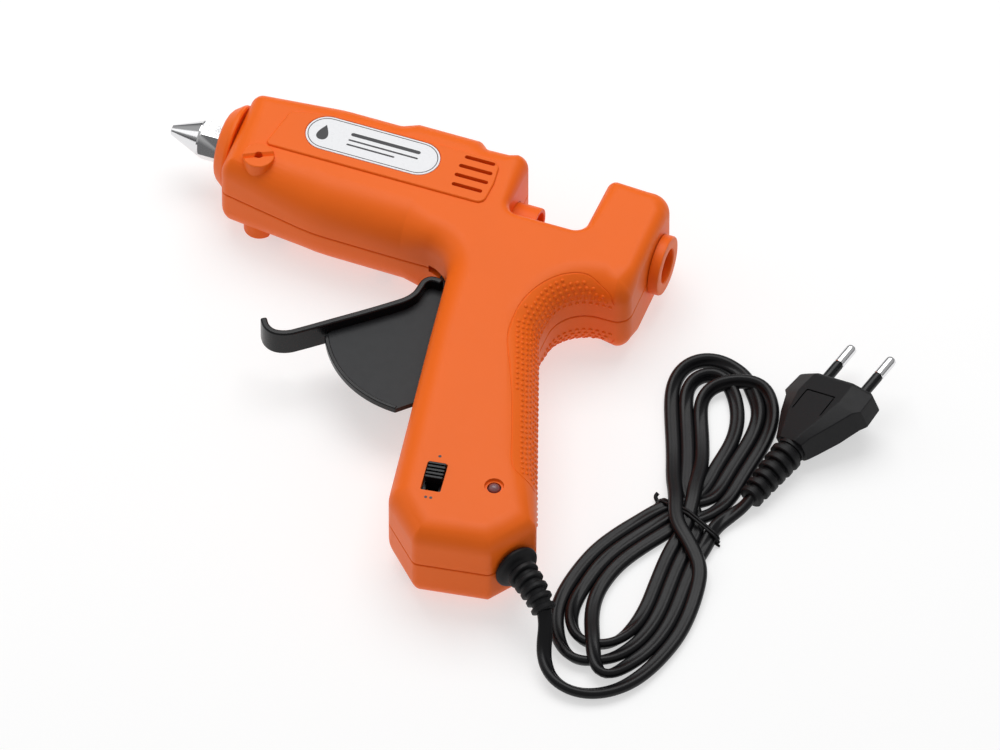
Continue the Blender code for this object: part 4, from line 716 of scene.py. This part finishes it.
def half_shell(name, side, node):
    shell = body_form(name, side, seam=0.25)
    cut(shell, body_form(name + "_hollow", side, shrink=WALL, start=-1.0, facet=math.radians(15)))
    raised = prism("raised_panel", panel(), *levels(side, 16.8, FLAT + 0.8))
    bevel(raised, 0.6, 4)
    cut(shell, raised, "UNION")
    bosses = [(x, y, 0.15, 3.9 if side < 0 else 3.2, 24) for x, y in SCREWS] + [(PIVOT.x, PIVOT.y, 5.5, 4.2, 48)]
    for x, y, foot, radius, sides in bosses:
        boss = rod("boss", (x, y, side * foot), (x, y, side * 16.6), radius, sides=sides)
        cut(boss, body_form("boss_room", side, shrink=WALL / 2, start=0.15, facet=math.radians(30)), "INTERSECT")
        cut(shell, boss, "UNION")
    stand = rod("stand", (STAND.x, STAND.y, side * 11), (STAND.x, STAND.y, side * 19.3), 5.3, 5.6, 64)
    bevel(stand, 0.5, 3, 50)
    cut(shell, stand, "UNION")
    tools = [
        rod("chamber_way", (-154.5, 0, 0), (-84, 0, 0), 9.8, sides=64),
        rod("nose_hole", (-162, 0, 0), (-150, 0, 0), 9.9, sides=64),
        rod("tube_hole", (FORE - 4, 0, 0), (FORE + 6, 0, 0), 8.3, sides=64),
        rod("stick_hole", (BACK - 2, 0, 0), (BACK + 4, 0, 0), COLLAR_BORE + GAP, sides=64),
        rod("collar_hole", (REAR - 4, 0, 0), (REAR + 2, 0, 0), 9.3, sides=64),
        prism("mouth", [(-79, -35.6), (-79, -39), (-68.5, -61), (-63.2, -61), (-63.2, -35.6)], -5.8, 5.8),
        prism("slot", [(-79, -28), (-76, -39), (-65, -96.8), (-53.5, -96.8), (-58, -28)], -1.65, 1.65),
        rod("pivot_hole", (PIVOT.x, PIVOT.y, 0), (PIVOT.x, PIVOT.y, side * 13.5), 1.9),
        rod("relief_hole", RELIEF_FACE - RELIEF_OUT * 8, RELIEF_FACE + RELIEF_OUT * 6, 4.7),
        rod("stand_socket", (STAND.x, STAND.y, side * 12.5), (STAND.x, STAND.y, side * 22), 1.5),
        prism("label_recess", strip(LABEL, 50.1, 16.0, 24), *levels(side, FLAT + 0.2, FLAT + 4)),
    ]
    groove = prism("stand_groove", [(-2.4, 20.6), (0, 18.2), (2.4, 20.6)], -5.9, 5.9)
    groove.data.transform(Matrix.Translation(STAND) @ Matrix.Rotation(math.radians(-63 * side), 4, "Z")
                          @ Matrix.Rotation(math.pi / 2, 4, "X") @ Matrix.Scale(side, 4, (0, 1, 0)))
    if side < 0:
        groove.data.flip_normals()
    tools.append(groove)
    for k, y in enumerate((8.2, 3.75, -0.7, -5.15)):
        tools.append(prism("vent", strip((FORE - 15.7, y), 12.5 if k in (1, 2) else 11.4, 1.6, 8),
                           *levels(side, 13.5, 22)))
    if side > 0:
        tools.append(prism("switch_window", soft_box(SWITCH, 13, 7.2, 0.6, LEAN), 13.5, 22))
        tools.append(rod("lamp_hole", LAMP + Vector((0, 0, 13.5)), LAMP + Vector((0, 0, 22)), 2.5))
        tools.append(rod("lamp_dish", LAMP + Vector((0, 0, 16.9)), LAMP + Vector((0, 0, 20)), 3.2, 3.9))
    else:
        tools += [rod("screw_hole", (x, y, -8.5), (x, y, -21), 3.1, sides=32) for x, y in SCREWS]
        tools += [rod("shank_hole", (x, y, 1), (x, y, -9.5), 1.65, sides=24) for x, y in SCREWS]
    for tool in tools:
        cut(shell, tool)
    return shell


left_half = half_shell("left_half", 1, "left_shell")
right_half = half_shell("right_half", -1, "right_shell")
print("halves:", len(left_half.data.polygons), len(right_half.data.polygons), "faces")

# %% [markdown]
# ## The grip's texture
# Behind a fine groove, the rounded rear edge of the grip is covered with small domes, in staggered rows that
# follow it. The groove keeps a smooth margin, and so does the seam. Rows are rings of the outline, further and
# further in. Along each row a dome stands every 2.4 mm, wherever it falls inside the textured patch. One dome
# is modelled and copied.

# %% Texture and its groove
PATCH = [(3.0, -31.6), (-7.5, -31.6), (-14, -28.6), (-20.5, -26.8), (-27, -29.2), (-32.4, -34.8), (-36, -42.5),
         (-37.6, -52), (-36.2, -64.5), (-31.2, -76), (-26, -88), (-20.4, -103), (-15, -118), (-11.5, -121.6),
         (-4.5, -122.8), (6, -122.4)]


def inside(point, polygon):
    hit = False
    for (x1, y1), (x2, y2) in zip(polygon, polygon[1:] + polygon[:1]):
        if (y1 > point[1]) != (y2 > point[1]) and point[0] < (x2 - x1) * (point[1] - y1) / (y2 - y1) + x1:
            hit = not hit
    return hit


def on_skin(x, y):
    hit, place, normal, _ = outer_skin.ray_cast(Vector((x, y, 40)), Vector((0, 0, -1)))
    return (place, normal) if hit else (None, None)


bpy.ops.object.select_all(action="DESELECT")
bpy.ops.mesh.primitive_uv_sphere_add(segments=8, ring_count=5, radius=0.78)
dome = bpy.context.object
bpy.ops.transform.resize(value=(1, 1, 0.5))
bpy.ops.object.transform_apply(location=True, rotation=True, scale=True)
dome_verts = np.array([v.co for v in dome.data.vertices])
dome_faces = [tuple(p.vertices) for p in dome.data.polygons]
bpy.data.objects.remove(dome, do_unlink=True)

RIM = smooth_route([(x, y, 0) for x, y in PATCH[1:15]], 1.5)
GROOVE = []
for x, y, _ in RIM:
    place, normal = on_skin(x, y)
    if place is not None:
        GROOVE.append(place + normal * 0.12)


def clear_of_rim(place):
    return min((place - spot).length for spot in GROOVE) > 2.1


def over_edge(edge, run):
    """(inset, rise) after a run from the seam, up the side, round the edge and on across the flat."""
    past_side = run - (FLAT - edge)
    if past_side < 0:
        return 0.0, run
    if past_side < edge * math.pi / 2:
        return edge * (1 - math.cos(past_side / edge)), FLAT - edge + edge * math.sin(past_side / edge)
    return edge + past_side - edge * math.pi / 2, FLAT


SEATS = []
for row in range(22):
    run = 0.9 + 2.05 * row
    ring = outline_ring(lambda edge: over_edge(edge, run)[0], lambda edge: over_edge(edge, run)[1])
    ring = np.array(ring + ring[:1])
    walked = np.concatenate([[0], np.cumsum(np.linalg.norm(np.diff(ring, axis=0), axis=1))])
    for stop in np.arange(1.2 * (row % 2), walked[-1], 2.4):
        spot = Vector([np.interp(stop, walked, ring[:, k]) for k in range(3)])
        if inside(spot, PATCH):
            found, place, normal, _ = outer_skin.closest_point_on_mesh(spot)
            if found and (place - spot).length < 1.2 and place.z > 6.5 and clear_of_rim(place):
                SEATS.append((place, normal))


def pimples(name, side):
    verts, faces = [], []
    for place, normal in SEATS:
        turn = np.array(normal.to_track_quat("Z", "Y").to_matrix())
        base = len(verts)
        for v in dome_verts @ turn.T + np.array(place):
            verts.append((v[0], v[1], side * v[2]))
        faces += [tuple(base + k for k in face) for face in dome_faces]
    piece = new_mesh(name, verts, faces=faces)
    return edit(piece, lambda: bpy.ops.mesh.normals_make_consistent(inside=False))


for side, half in ((1, left_half), (-1, right_half)):
    path = [(p.x, p.y, side * p.z) for p in GROOVE]
    cut(half, sweep("rim_groove", path, [circle(0.36, 8)] * len(path)))
    settle(pimples("grip_texture_" + ("left" if side > 0 else "right"), side), "housing", ORANGE,
           smooth=70, weighted=False)
settle(left_half, "housing", ORANGE, ("left_shell",))
settle(right_half, "housing", ORANGE, ("right_shell",))
bpy.data.objects.remove(outer_skin, do_unlink=True)
print("domes a side:", len(SEATS))

# %% [markdown]
# ## Label
# A printed oval plate fills the recess on either side. Its lettering is left out: a thin border, a plain drop
# of glue and three bars stand in its place, each a raised film of ink.

# %% Labels


def film(name, outline, holes, side, height):
    piece = prism(name, outline, *levels(side, height, height + 0.06))
    for hole in holes:
        cut(piece, prism(name + "_hole", hole, *levels(side, height - 1, height + 1)))
    return piece


drop = [(-129.5 + 2.9 * math.sin(a) * math.sin(a / 2) ** 1.4, 1.8 + 3.6 * math.cos(a))
        for a in np.linspace(0, 2 * math.pi, 32, endpoint=False)]
for name, side in (("left", 1), ("right", -1)):
    plate = prism("label_plate_" + name, strip(LABEL, 49.5, 15.4, 24), *levels(side, FLAT + 0.25, FLAT + 0.85))
    bevel(plate, 0.12, 2)
    settle(plate, "housing", LABEL_WHITE, ("label_" + name,))
    marks = [film("label_marks_" + name, strip(LABEL, 48.1, 14.0, 24), [strip(LABEL, 47.5, 13.4, 24)], side,
                  FLAT + 0.83),
             film("mark", drop, [], side, FLAT + 0.83)]
    for k, (long, wide, y) in enumerate(((26, 1.5, 4.2), (26, 0.7, 1.4), (18, 0.7, -0.8))):
        marks.append(film("mark", strip((LABEL.x + 4 - (26 - long) / 2, y), long, wide, 6), [], side, FLAT + 0.83))
    settle(joined(marks), "housing", INK, weighted=False)

# %% [markdown]
# ## The lever
# A flat strip for the fingers curls in under the pivot at its upper end and up into a hook at its lower end.
# Its edges are well rounded. Behind it a thin web slides into the grip, with a round-edged bead along its rim.
# A hub, the pin's eye and a forked arm that drives the feed sit inside.

# %% Trigger


def ribbon(points, thickness):
    points = [Vector(p[:2]) for p in points]
    left, right = [], []
    for i, p in enumerate(points):
        along = (points[min(i + 1, len(points) - 1)] - points[max(i - 1, 0)]).normalized()
        across_way = Vector((-along.y, along.x)) * thickness / 2
        left.append(p + across_way)
        right.append(p - across_way)
    return [tuple(p) for p in left + right[::-1]]


centre = [(-0.4, -11.2), (-2.6, -10.7), (-4.9, -11.2), (-6.3, -13.0), (-6.7, -16.0), (-7.3, -19.3), (-9.4, -22.9),
          (-13.4, -26.8), (-20.6, -33.2), (-29.3, -40.6), (-39.2, -49.0), (-43.2, -51.9), (-47.5, -52.9),
          (-51.0, -51.4), (-53.3, -48.2)]
spine = smooth_route([(PIVOT.x + x, PIVOT.y + y, 0) for x, y in centre], 1.0)
lever = bevel(prism("trigger_lever", ribbon(spine, 2.4), -5.2, 5.2), 0.75, 4, 50)
hub = bevel(through("hub", PIVOT, 5.2, 4.6), 0.4, 2)
fork = [(-3.4, 0), (-3.6, 18.4), (-1.6, 18.4), (-1.6, 14.2), (1.6, 14.2), (1.6, 18.4), (3.6, 18.4), (3.4, 0)]
fork = [Matrix.Rotation(math.radians(-16.5), 2) @ Vector(p) for p in fork]
arm = bevel(prism("arm", [(PIVOT.x + p.x, PIVOT.y + p.y) for p in fork], -2, 2), 0.25, 2)
cut(lever, hub, "UNION")
cut(lever, arm, "UNION")
cut(lever, through("eye", PIVOT, 8, 1.9))
settle(lever, "trigger", SATIN_BLACK, ("trigger",))

WEB_CENTRE, WEB_RADIUS = (4.8, -29.0), 39.8
rim = [(WEB_CENTRE[0] + WEB_RADIUS * math.cos(math.radians(204.6 + 63.7 * k / 28)),
        WEB_CENTRE[1] + WEB_RADIUS * math.sin(math.radians(204.6 + 63.7 * k / 28))) for k in range(29)]
web = [(-28.6, -40.0)] + rim + [(11.5, -61.0), (9.2, -30.0), (4.5, -2.0), (-2.6, -1.2), (-3.2, -10.0),
                                (-6.3, -13.0), (-6.9, -17.0), (-9.4, -22.9), (-13.4, -26.8), (-20.6, -33.2)]
sector = prism("trigger_web", [(PIVOT.x + x, PIVOT.y + y) for x, y in web], -1.05, 1.05)
cut(sector, through("eye", PIVOT, 8, 4.3))
settle(sector, "trigger", WEB_GREY)
bead = [(PIVOT.x + x - (x - 4.8) * 0.016, PIVOT.y + y - (y + 29) * 0.016) for x, y in rim + [(7.5, -67.4)]]
edge_bead = bevel(prism("trigger_web_bead", ribbon(smooth_route([(*p, 0) for p in bead[:-1]], 1.2), 1.5), -1.3, 1.3),
                  0.35, 3)
settle(edge_bead, "trigger", SATIN_BLACK)

# %% [markdown]
# ## The melt end
# The nozzle is turned from brass hexagon and chromed: the hexagon's corners are cut away by the chamfer of
# a turned bar, and a cone leads to the tip. The orange ring behind it is turned too, with rounded steps.

# %% Nozzle and ring
corner = 6.6 / math.cos(math.radians(30))
nozzle = rod("nozzle_tip", (-159.8, 0, 0), (-174.2, 0, 0), corner, sides=6)
nozzle.data.transform(Matrix.Rotation(math.radians(30), 4, "X"))
chamfer = lathe("chamfer", [(-158, 0), (-158, 9), (-172.6, 9), (-174.9, 5.6), (-176, 5.6), (-176, 0)], 96)
cut(nozzle, chamfer, "INTERSECT")
bevel(nozzle, 0.22, 3, 25)
cone = lathe("cone", [(-172.5, 0), (-172.5, 5.7), (-174.2, 6.3), (-174.9, 6.4), (-175.6, 6.1), (-184.9, 2.2),
                      (-185.7, 1.9), (-186.0, 1.5), (-186.0, 0)], 96)
cut(nozzle, cone, "UNION")
cut(nozzle, rod("bore", (-187, 0, 0), (-158.5, 0, 0), 0.9, 2.2, 32))
cut(nozzle, rod("thread", (-167, 0, 0), (-158.8, 0, 0), 4.5, sides=48))
settle(nozzle, "housing", CHROME, ("nozzle",), smooth=30)

nose = lathe("nose_collar", [
    (-155.7, 8.2), (-155.7, 11.3), (-157.2, 11.3), (-157.2, 9.6), (-160.3, 9.6), (-160.3, 15.0), (-160.7, 15.45),
    (-161.6, 15.5), (-162.2, 15.2), (-165.0, 13.1), (-165.9, 11.9), (-166.2, 11.2), (-166.2, 9.0), (-165.8, 8.4)], 96)
settle(nose, "housing", ORANGE, ("nose_ring",))

collar = lathe("stick_collar", [
    (-0.5, 6.3), (-0.1, 6.6), (0, 7.2), (0, 10.0), (-0.2, 10.55), (-0.7, 10.8), (-3.7, 10.8), (-3.7, 9.0),
    (-6.5, 9.0), (-6.5, 10.8), (-8.2, 10.8), (-8.2, 8.0), (-26.0, 8.0), (-26.0, 6.3)], 96)
settle(collar, "housing", ORANGE, ("rear_collar",))

# %% [markdown]
# ## The stick feed
# The carriage is a thin tube that shows in the loading window, with two lugs below for the drive pin and two
# ears above for the jaw. Its rear edge is rounded, because the fingers meet it there.

# %% Feed carriage
PIN, JAW = Vector((-65.26, -11, 0)), Vector((-73.96, 10.4, 0))
carriage = lathe("feed_tube", [(-84, 6.4), (-84, 8.0), (-49.1, 8.0), (-48.6, 7.8), (-48.5, 7.2), (-48.7, 6.6),
                               (-49.2, 6.4)], 96)
for side in (1, -1):
    lug = prism("lug", [(PIN.x - 7.6, -6.2), (PIN.x - 7.6, PIN.y - 2.8), (PIN.x + 3.5, PIN.y - 2.8),
                        (PIN.x + 5.2, -6.2)], *levels(side, 2.9, 5.2))
    ear = prism("ear", [(JAW.x - 4.2, 6.0), (JAW.x + 4.2, 6.0), (JAW.x + 2.8, JAW.y + 2.0), (JAW.x - 2.8, JAW.y + 2.0)],
                *levels(side, 2.9, 4.6))
    cut(carriage, lug, "UNION")
    cut(carriage, ear, "UNION")
seat = prism("seat", [(-73, -18.8), (-71.8, -18.8), (-71.8, -6.4), (-73, -6.4)], -5, 5)
cut(carriage, seat, "UNION")
cut(carriage, rod("bore", (-85, 0, 0), (-47, 0, 0), 6.4, sides=96))
cut(carriage, prism("jaw_window", [(JAW.x - 3.5, 0), (JAW.x + 11.2, 0), (JAW.x + 11.2, 9), (JAW.x - 3.5, 9)],
                    -2.8, 2.8))
for place in (PIN, JAW):
    cut(carriage, through("pin_hole", place, 7, 1.6, 32))
settle(carriage, "carriage", ORANGE, ("feed_carriage",))

spring_low, spring_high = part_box("return_spring")
turns, coil = 7, []
length_of_spring = (spring_high.x - spring_low.x) * 1000
spring_start = (spring_low.x - AXIS.x) * 1000
for k in range(turns * 24 + 1):
    angle = 2 * math.pi * k / 24
    x = spring_start + 0.5 + (length_of_spring - 1.0) * k / (turns * 24)
    coil.append((x, -14.8 + 3.0 * math.cos(angle), 3.0 * math.sin(angle)))
spring = sweep("coil_spring", coil, [circle(0.45, 8)] * len(coil))
settle(spring, "housing", STEEL, ("return_spring",), smooth=60, weighted=False)
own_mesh(spring)

# %% [markdown]
# ## Switch and lamp
# The slider stands in its window: ribs for the thumb on its upper half, a smooth step below. The lamp's lens
# is a small dome at the bottom of its dish. One printed dot above the switch and two below mark its powers.

# %% Slider and lens
shift = Matrix.Rotation(LEAN, 2) @ Vector((0, 2.4))
seat_place = Vector((SWITCH.x + shift.x, SWITCH.y + shift.y, 0))
slider = bevel(prism("slider_button", soft_box(seat_place, 7.4, 6.4, 0.5, LEAN), 16.0, 19.0), 0.3, 3)
cut(slider, prism("foot", soft_box(seat_place, 6.0, 4.0, 0.3, LEAN), 12.3, 16.8), "UNION")
for k in range(4):
    offset = Matrix.Rotation(LEAN, 2) @ Vector((0, -2.4 + 1.6 * k))
    tooth = prism("tooth", soft_box((seat_place.x + offset.x, seat_place.y + offset.y), 0.8, 10, 0.1, LEAN), 18.35, 21)
    cut(slider, tooth)
settle(slider, "slider", SATIN_BLACK, ("switch_slider",))
dots = []
for dx, dy in ((0, 9.6), (-0.9, -9.6), (0.9, -9.6)):
    spot = Matrix.Rotation(LEAN, 2) @ Vector((dx, dy))
    dots.append(rod("power_dots", (SWITCH.x + spot.x, SWITCH.y + spot.y, FLAT - 0.2),
                    (SWITCH.x + spot.x, SWITCH.y + spot.y, FLAT + 0.05), 0.55, sides=20))
dots = joined(dots)
dots.name = "power_dots"
settle(dots, "housing", INK, weighted=False)
lens = lathe("lamp_dome", [(13.8, 0), (13.8, 3.0), (15.6, 3.0), (15.6, 2.1), (16.6, 2.1), (17.3, 1.75),
                           (17.75, 1.0), (17.9, 0)], 48)
lens.data.transform(Matrix.Translation(LAMP) @ Matrix.Rotation(-math.pi / 2, 4, "Y"))
edit(lens, tidy_faces)
settle(lens, "housing", LENS, ("lamp_lens",), smooth=60)

# %% [markdown]
# ## Strain relief
# A moulded rubber sleeve with a round flange against the butt and five ribs on a taper that droops. Its path
# bends; each station on it has its own radius, and short steps between stations round the ribs.

# %% Strain relief
STATIONS = [(-6.0, 4.0), (-0.5, 4.0), (0.3, 7.6), (0.7, 8.2), (1.2, 8.4), (1.9, 8.35), (2.5, 7.9), (2.9, 6.8),
            (3.2, 5.6), (3.7, 5.1)]
for k in range(5):
    s, big, small = 4.7 + 3.6 * k, 5.75 - 0.32 * k, 4.2 - 0.2 * k
    STATIONS += [(s, small), (s + 0.25, big - 0.35), (s + 0.55, big), (s + 1.7, big), (s + 2.0, big - 0.35),
                 (s + 2.2, small)]
path, radii = [], []
for s, radius in STATIONS:
    share = max(0.0, (s - 3.4) / 18.0)
    lean, swing = math.radians(27) * share, math.radians(-9) * share
    heading = Matrix.Rotation(swing / 2, 3, "Z") @ RELIEF_OUT
    run = s - 3.4
    if run <= 0:
        path.append(RELIEF_FACE + RELIEF_OUT * s)
    else:
        path.append(RELIEF_FACE + RELIEF_OUT * 3.4 + heading * run * math.cos(lean / 2)
                    - Vector((0, 0, run * math.sin(lean / 2))))
    radii.append(radius)
relief = sweep("cord_sleeve", path, [circle(r, 40) for r in radii])
settle(relief, "housing", SOFT_BLACK, ("strain_relief",), smooth=40)

# %% [markdown]
# ## The plug
# A flat two-pin plug with a faceted shoulder, a shallow frame sunk in its face and a ribbed tail. Its form is
# a run of eight-sided sections, with the hard moulded edges just broken by a bevel.

# %% Plug body
SECTIONS = [(0.0, 15.4, 6.0, 8.0, 3.4), (-1.2, 17.2, 6.5, 9.0, 3.6), (-9.4, 17.8, 6.8, 9.6, 3.8),
            (-11.4, 15.6, 6.8, 9.2, 4.2), (-19.0, 12.0, 6.5, 7.4, 4.4), (-26.5, 7.6, 5.9, 4.6, 4.2),
            (-30.0, 6.0, 5.2, 3.4, 3.6)]
verts, faces = [], []
for x, wide, thick, flat, edge in SECTIONS:
    verts += [(x, flat, thick), (x, wide, edge), (x, wide, -edge), (x, flat, -thick), (x, -flat, -thick),
              (x, -wide, -edge), (x, -wide, edge), (x, -flat, thick)]
for r in range(len(SECTIONS) - 1):
    faces += [(r * 8 + k, r * 8 + (k + 1) % 8, r * 8 + 8 + (k + 1) % 8, r * 8 + 8 + k) for k in range(8)]
faces += [tuple(range(8)), tuple(range(len(verts) - 8, len(verts)))]
plug = edit(new_mesh("plug_shell", verts, faces=faces), tidy_faces)
bevel(plug, 0.35, 2, 12)
for side in (1, -1):
    frame_cut = prism("frame_cut", soft_box((-13.0, 0), 13.5, 9.5, 0.6), *levels(side, 6.15, 9))
    core = prism("frame_core", soft_box((-13.6, 0), 12.3, 9.5, 0.6), *levels(side, 5, 10))
    cut(frame_cut, core)
    cut(plug, frame_cut)
profile = [(2.0, 0), (2.0, 5.2), (-1.2, 5.2)]
for k in range(6):
    top, big = -1.2 - 4.0 * k, 5.9 - 0.3 * k
    profile += [(top, big - 1.4), (top - 1.5, big - 1.4), (top - 1.6, big - 0.3), (top - 1.9, big), (top - 3.6, big),
                (top - 3.9, big - 0.3)]
profile += [(-25.2, 3.4), (-25.2, 0)]
tail = lathe("tail", profile, 48, (-30, 0, 0))
cut(plug, tail, "UNION")
for side in (1, -1):
    cut(plug, rod("pin_hole", (-9, side * 9.3, 0), (1, side * 9.3, 0), 2.2, sides=32))
plug.data.transform(PLUG_TURN)
settle(plug, "housing", SOFT_BLACK, ("plug_body",), smooth=28)

# %% [markdown]
# The pins: a nickel-plated rod with a rounded tip, in a black sleeve for the half nearest the plug.

# %% Plug pins
PLUG_PIECES = ["plug_shell"]
for k, side in ((1, -1), (2, 1)):
    sleeve = lathe(f"plug_pin_sleeve_{k}", [(-5, 1.4), (-5, 1.9), (9.6, 1.9), (10, 1.75), (10, 1.4)], 32,
                   (0, side * 9.3, 0))
    sleeve.data.transform(PLUG_TURN)
    settle(sleeve, "housing", SATIN_BLACK, (f"pin_sleeve_{k}",))
    pin = lathe(f"plug_pin_metal_{k}", [(-8, 0), (-8, 1.1), (10.2, 1.1), (10.2, 1.8), (10.4, 2.0), (17.4, 2.0),
                                        (18.3, 1.75), (18.8, 1.2), (19.0, 0.5), (19.0, 0)], 32, (0, side * 9.3, 0))
    pin.data.transform(PLUG_TURN)
    settle(pin, "housing", CHROME, (f"plug_pin_{k}",))
    PLUG_PIECES += [sleeve.name, pin.name]
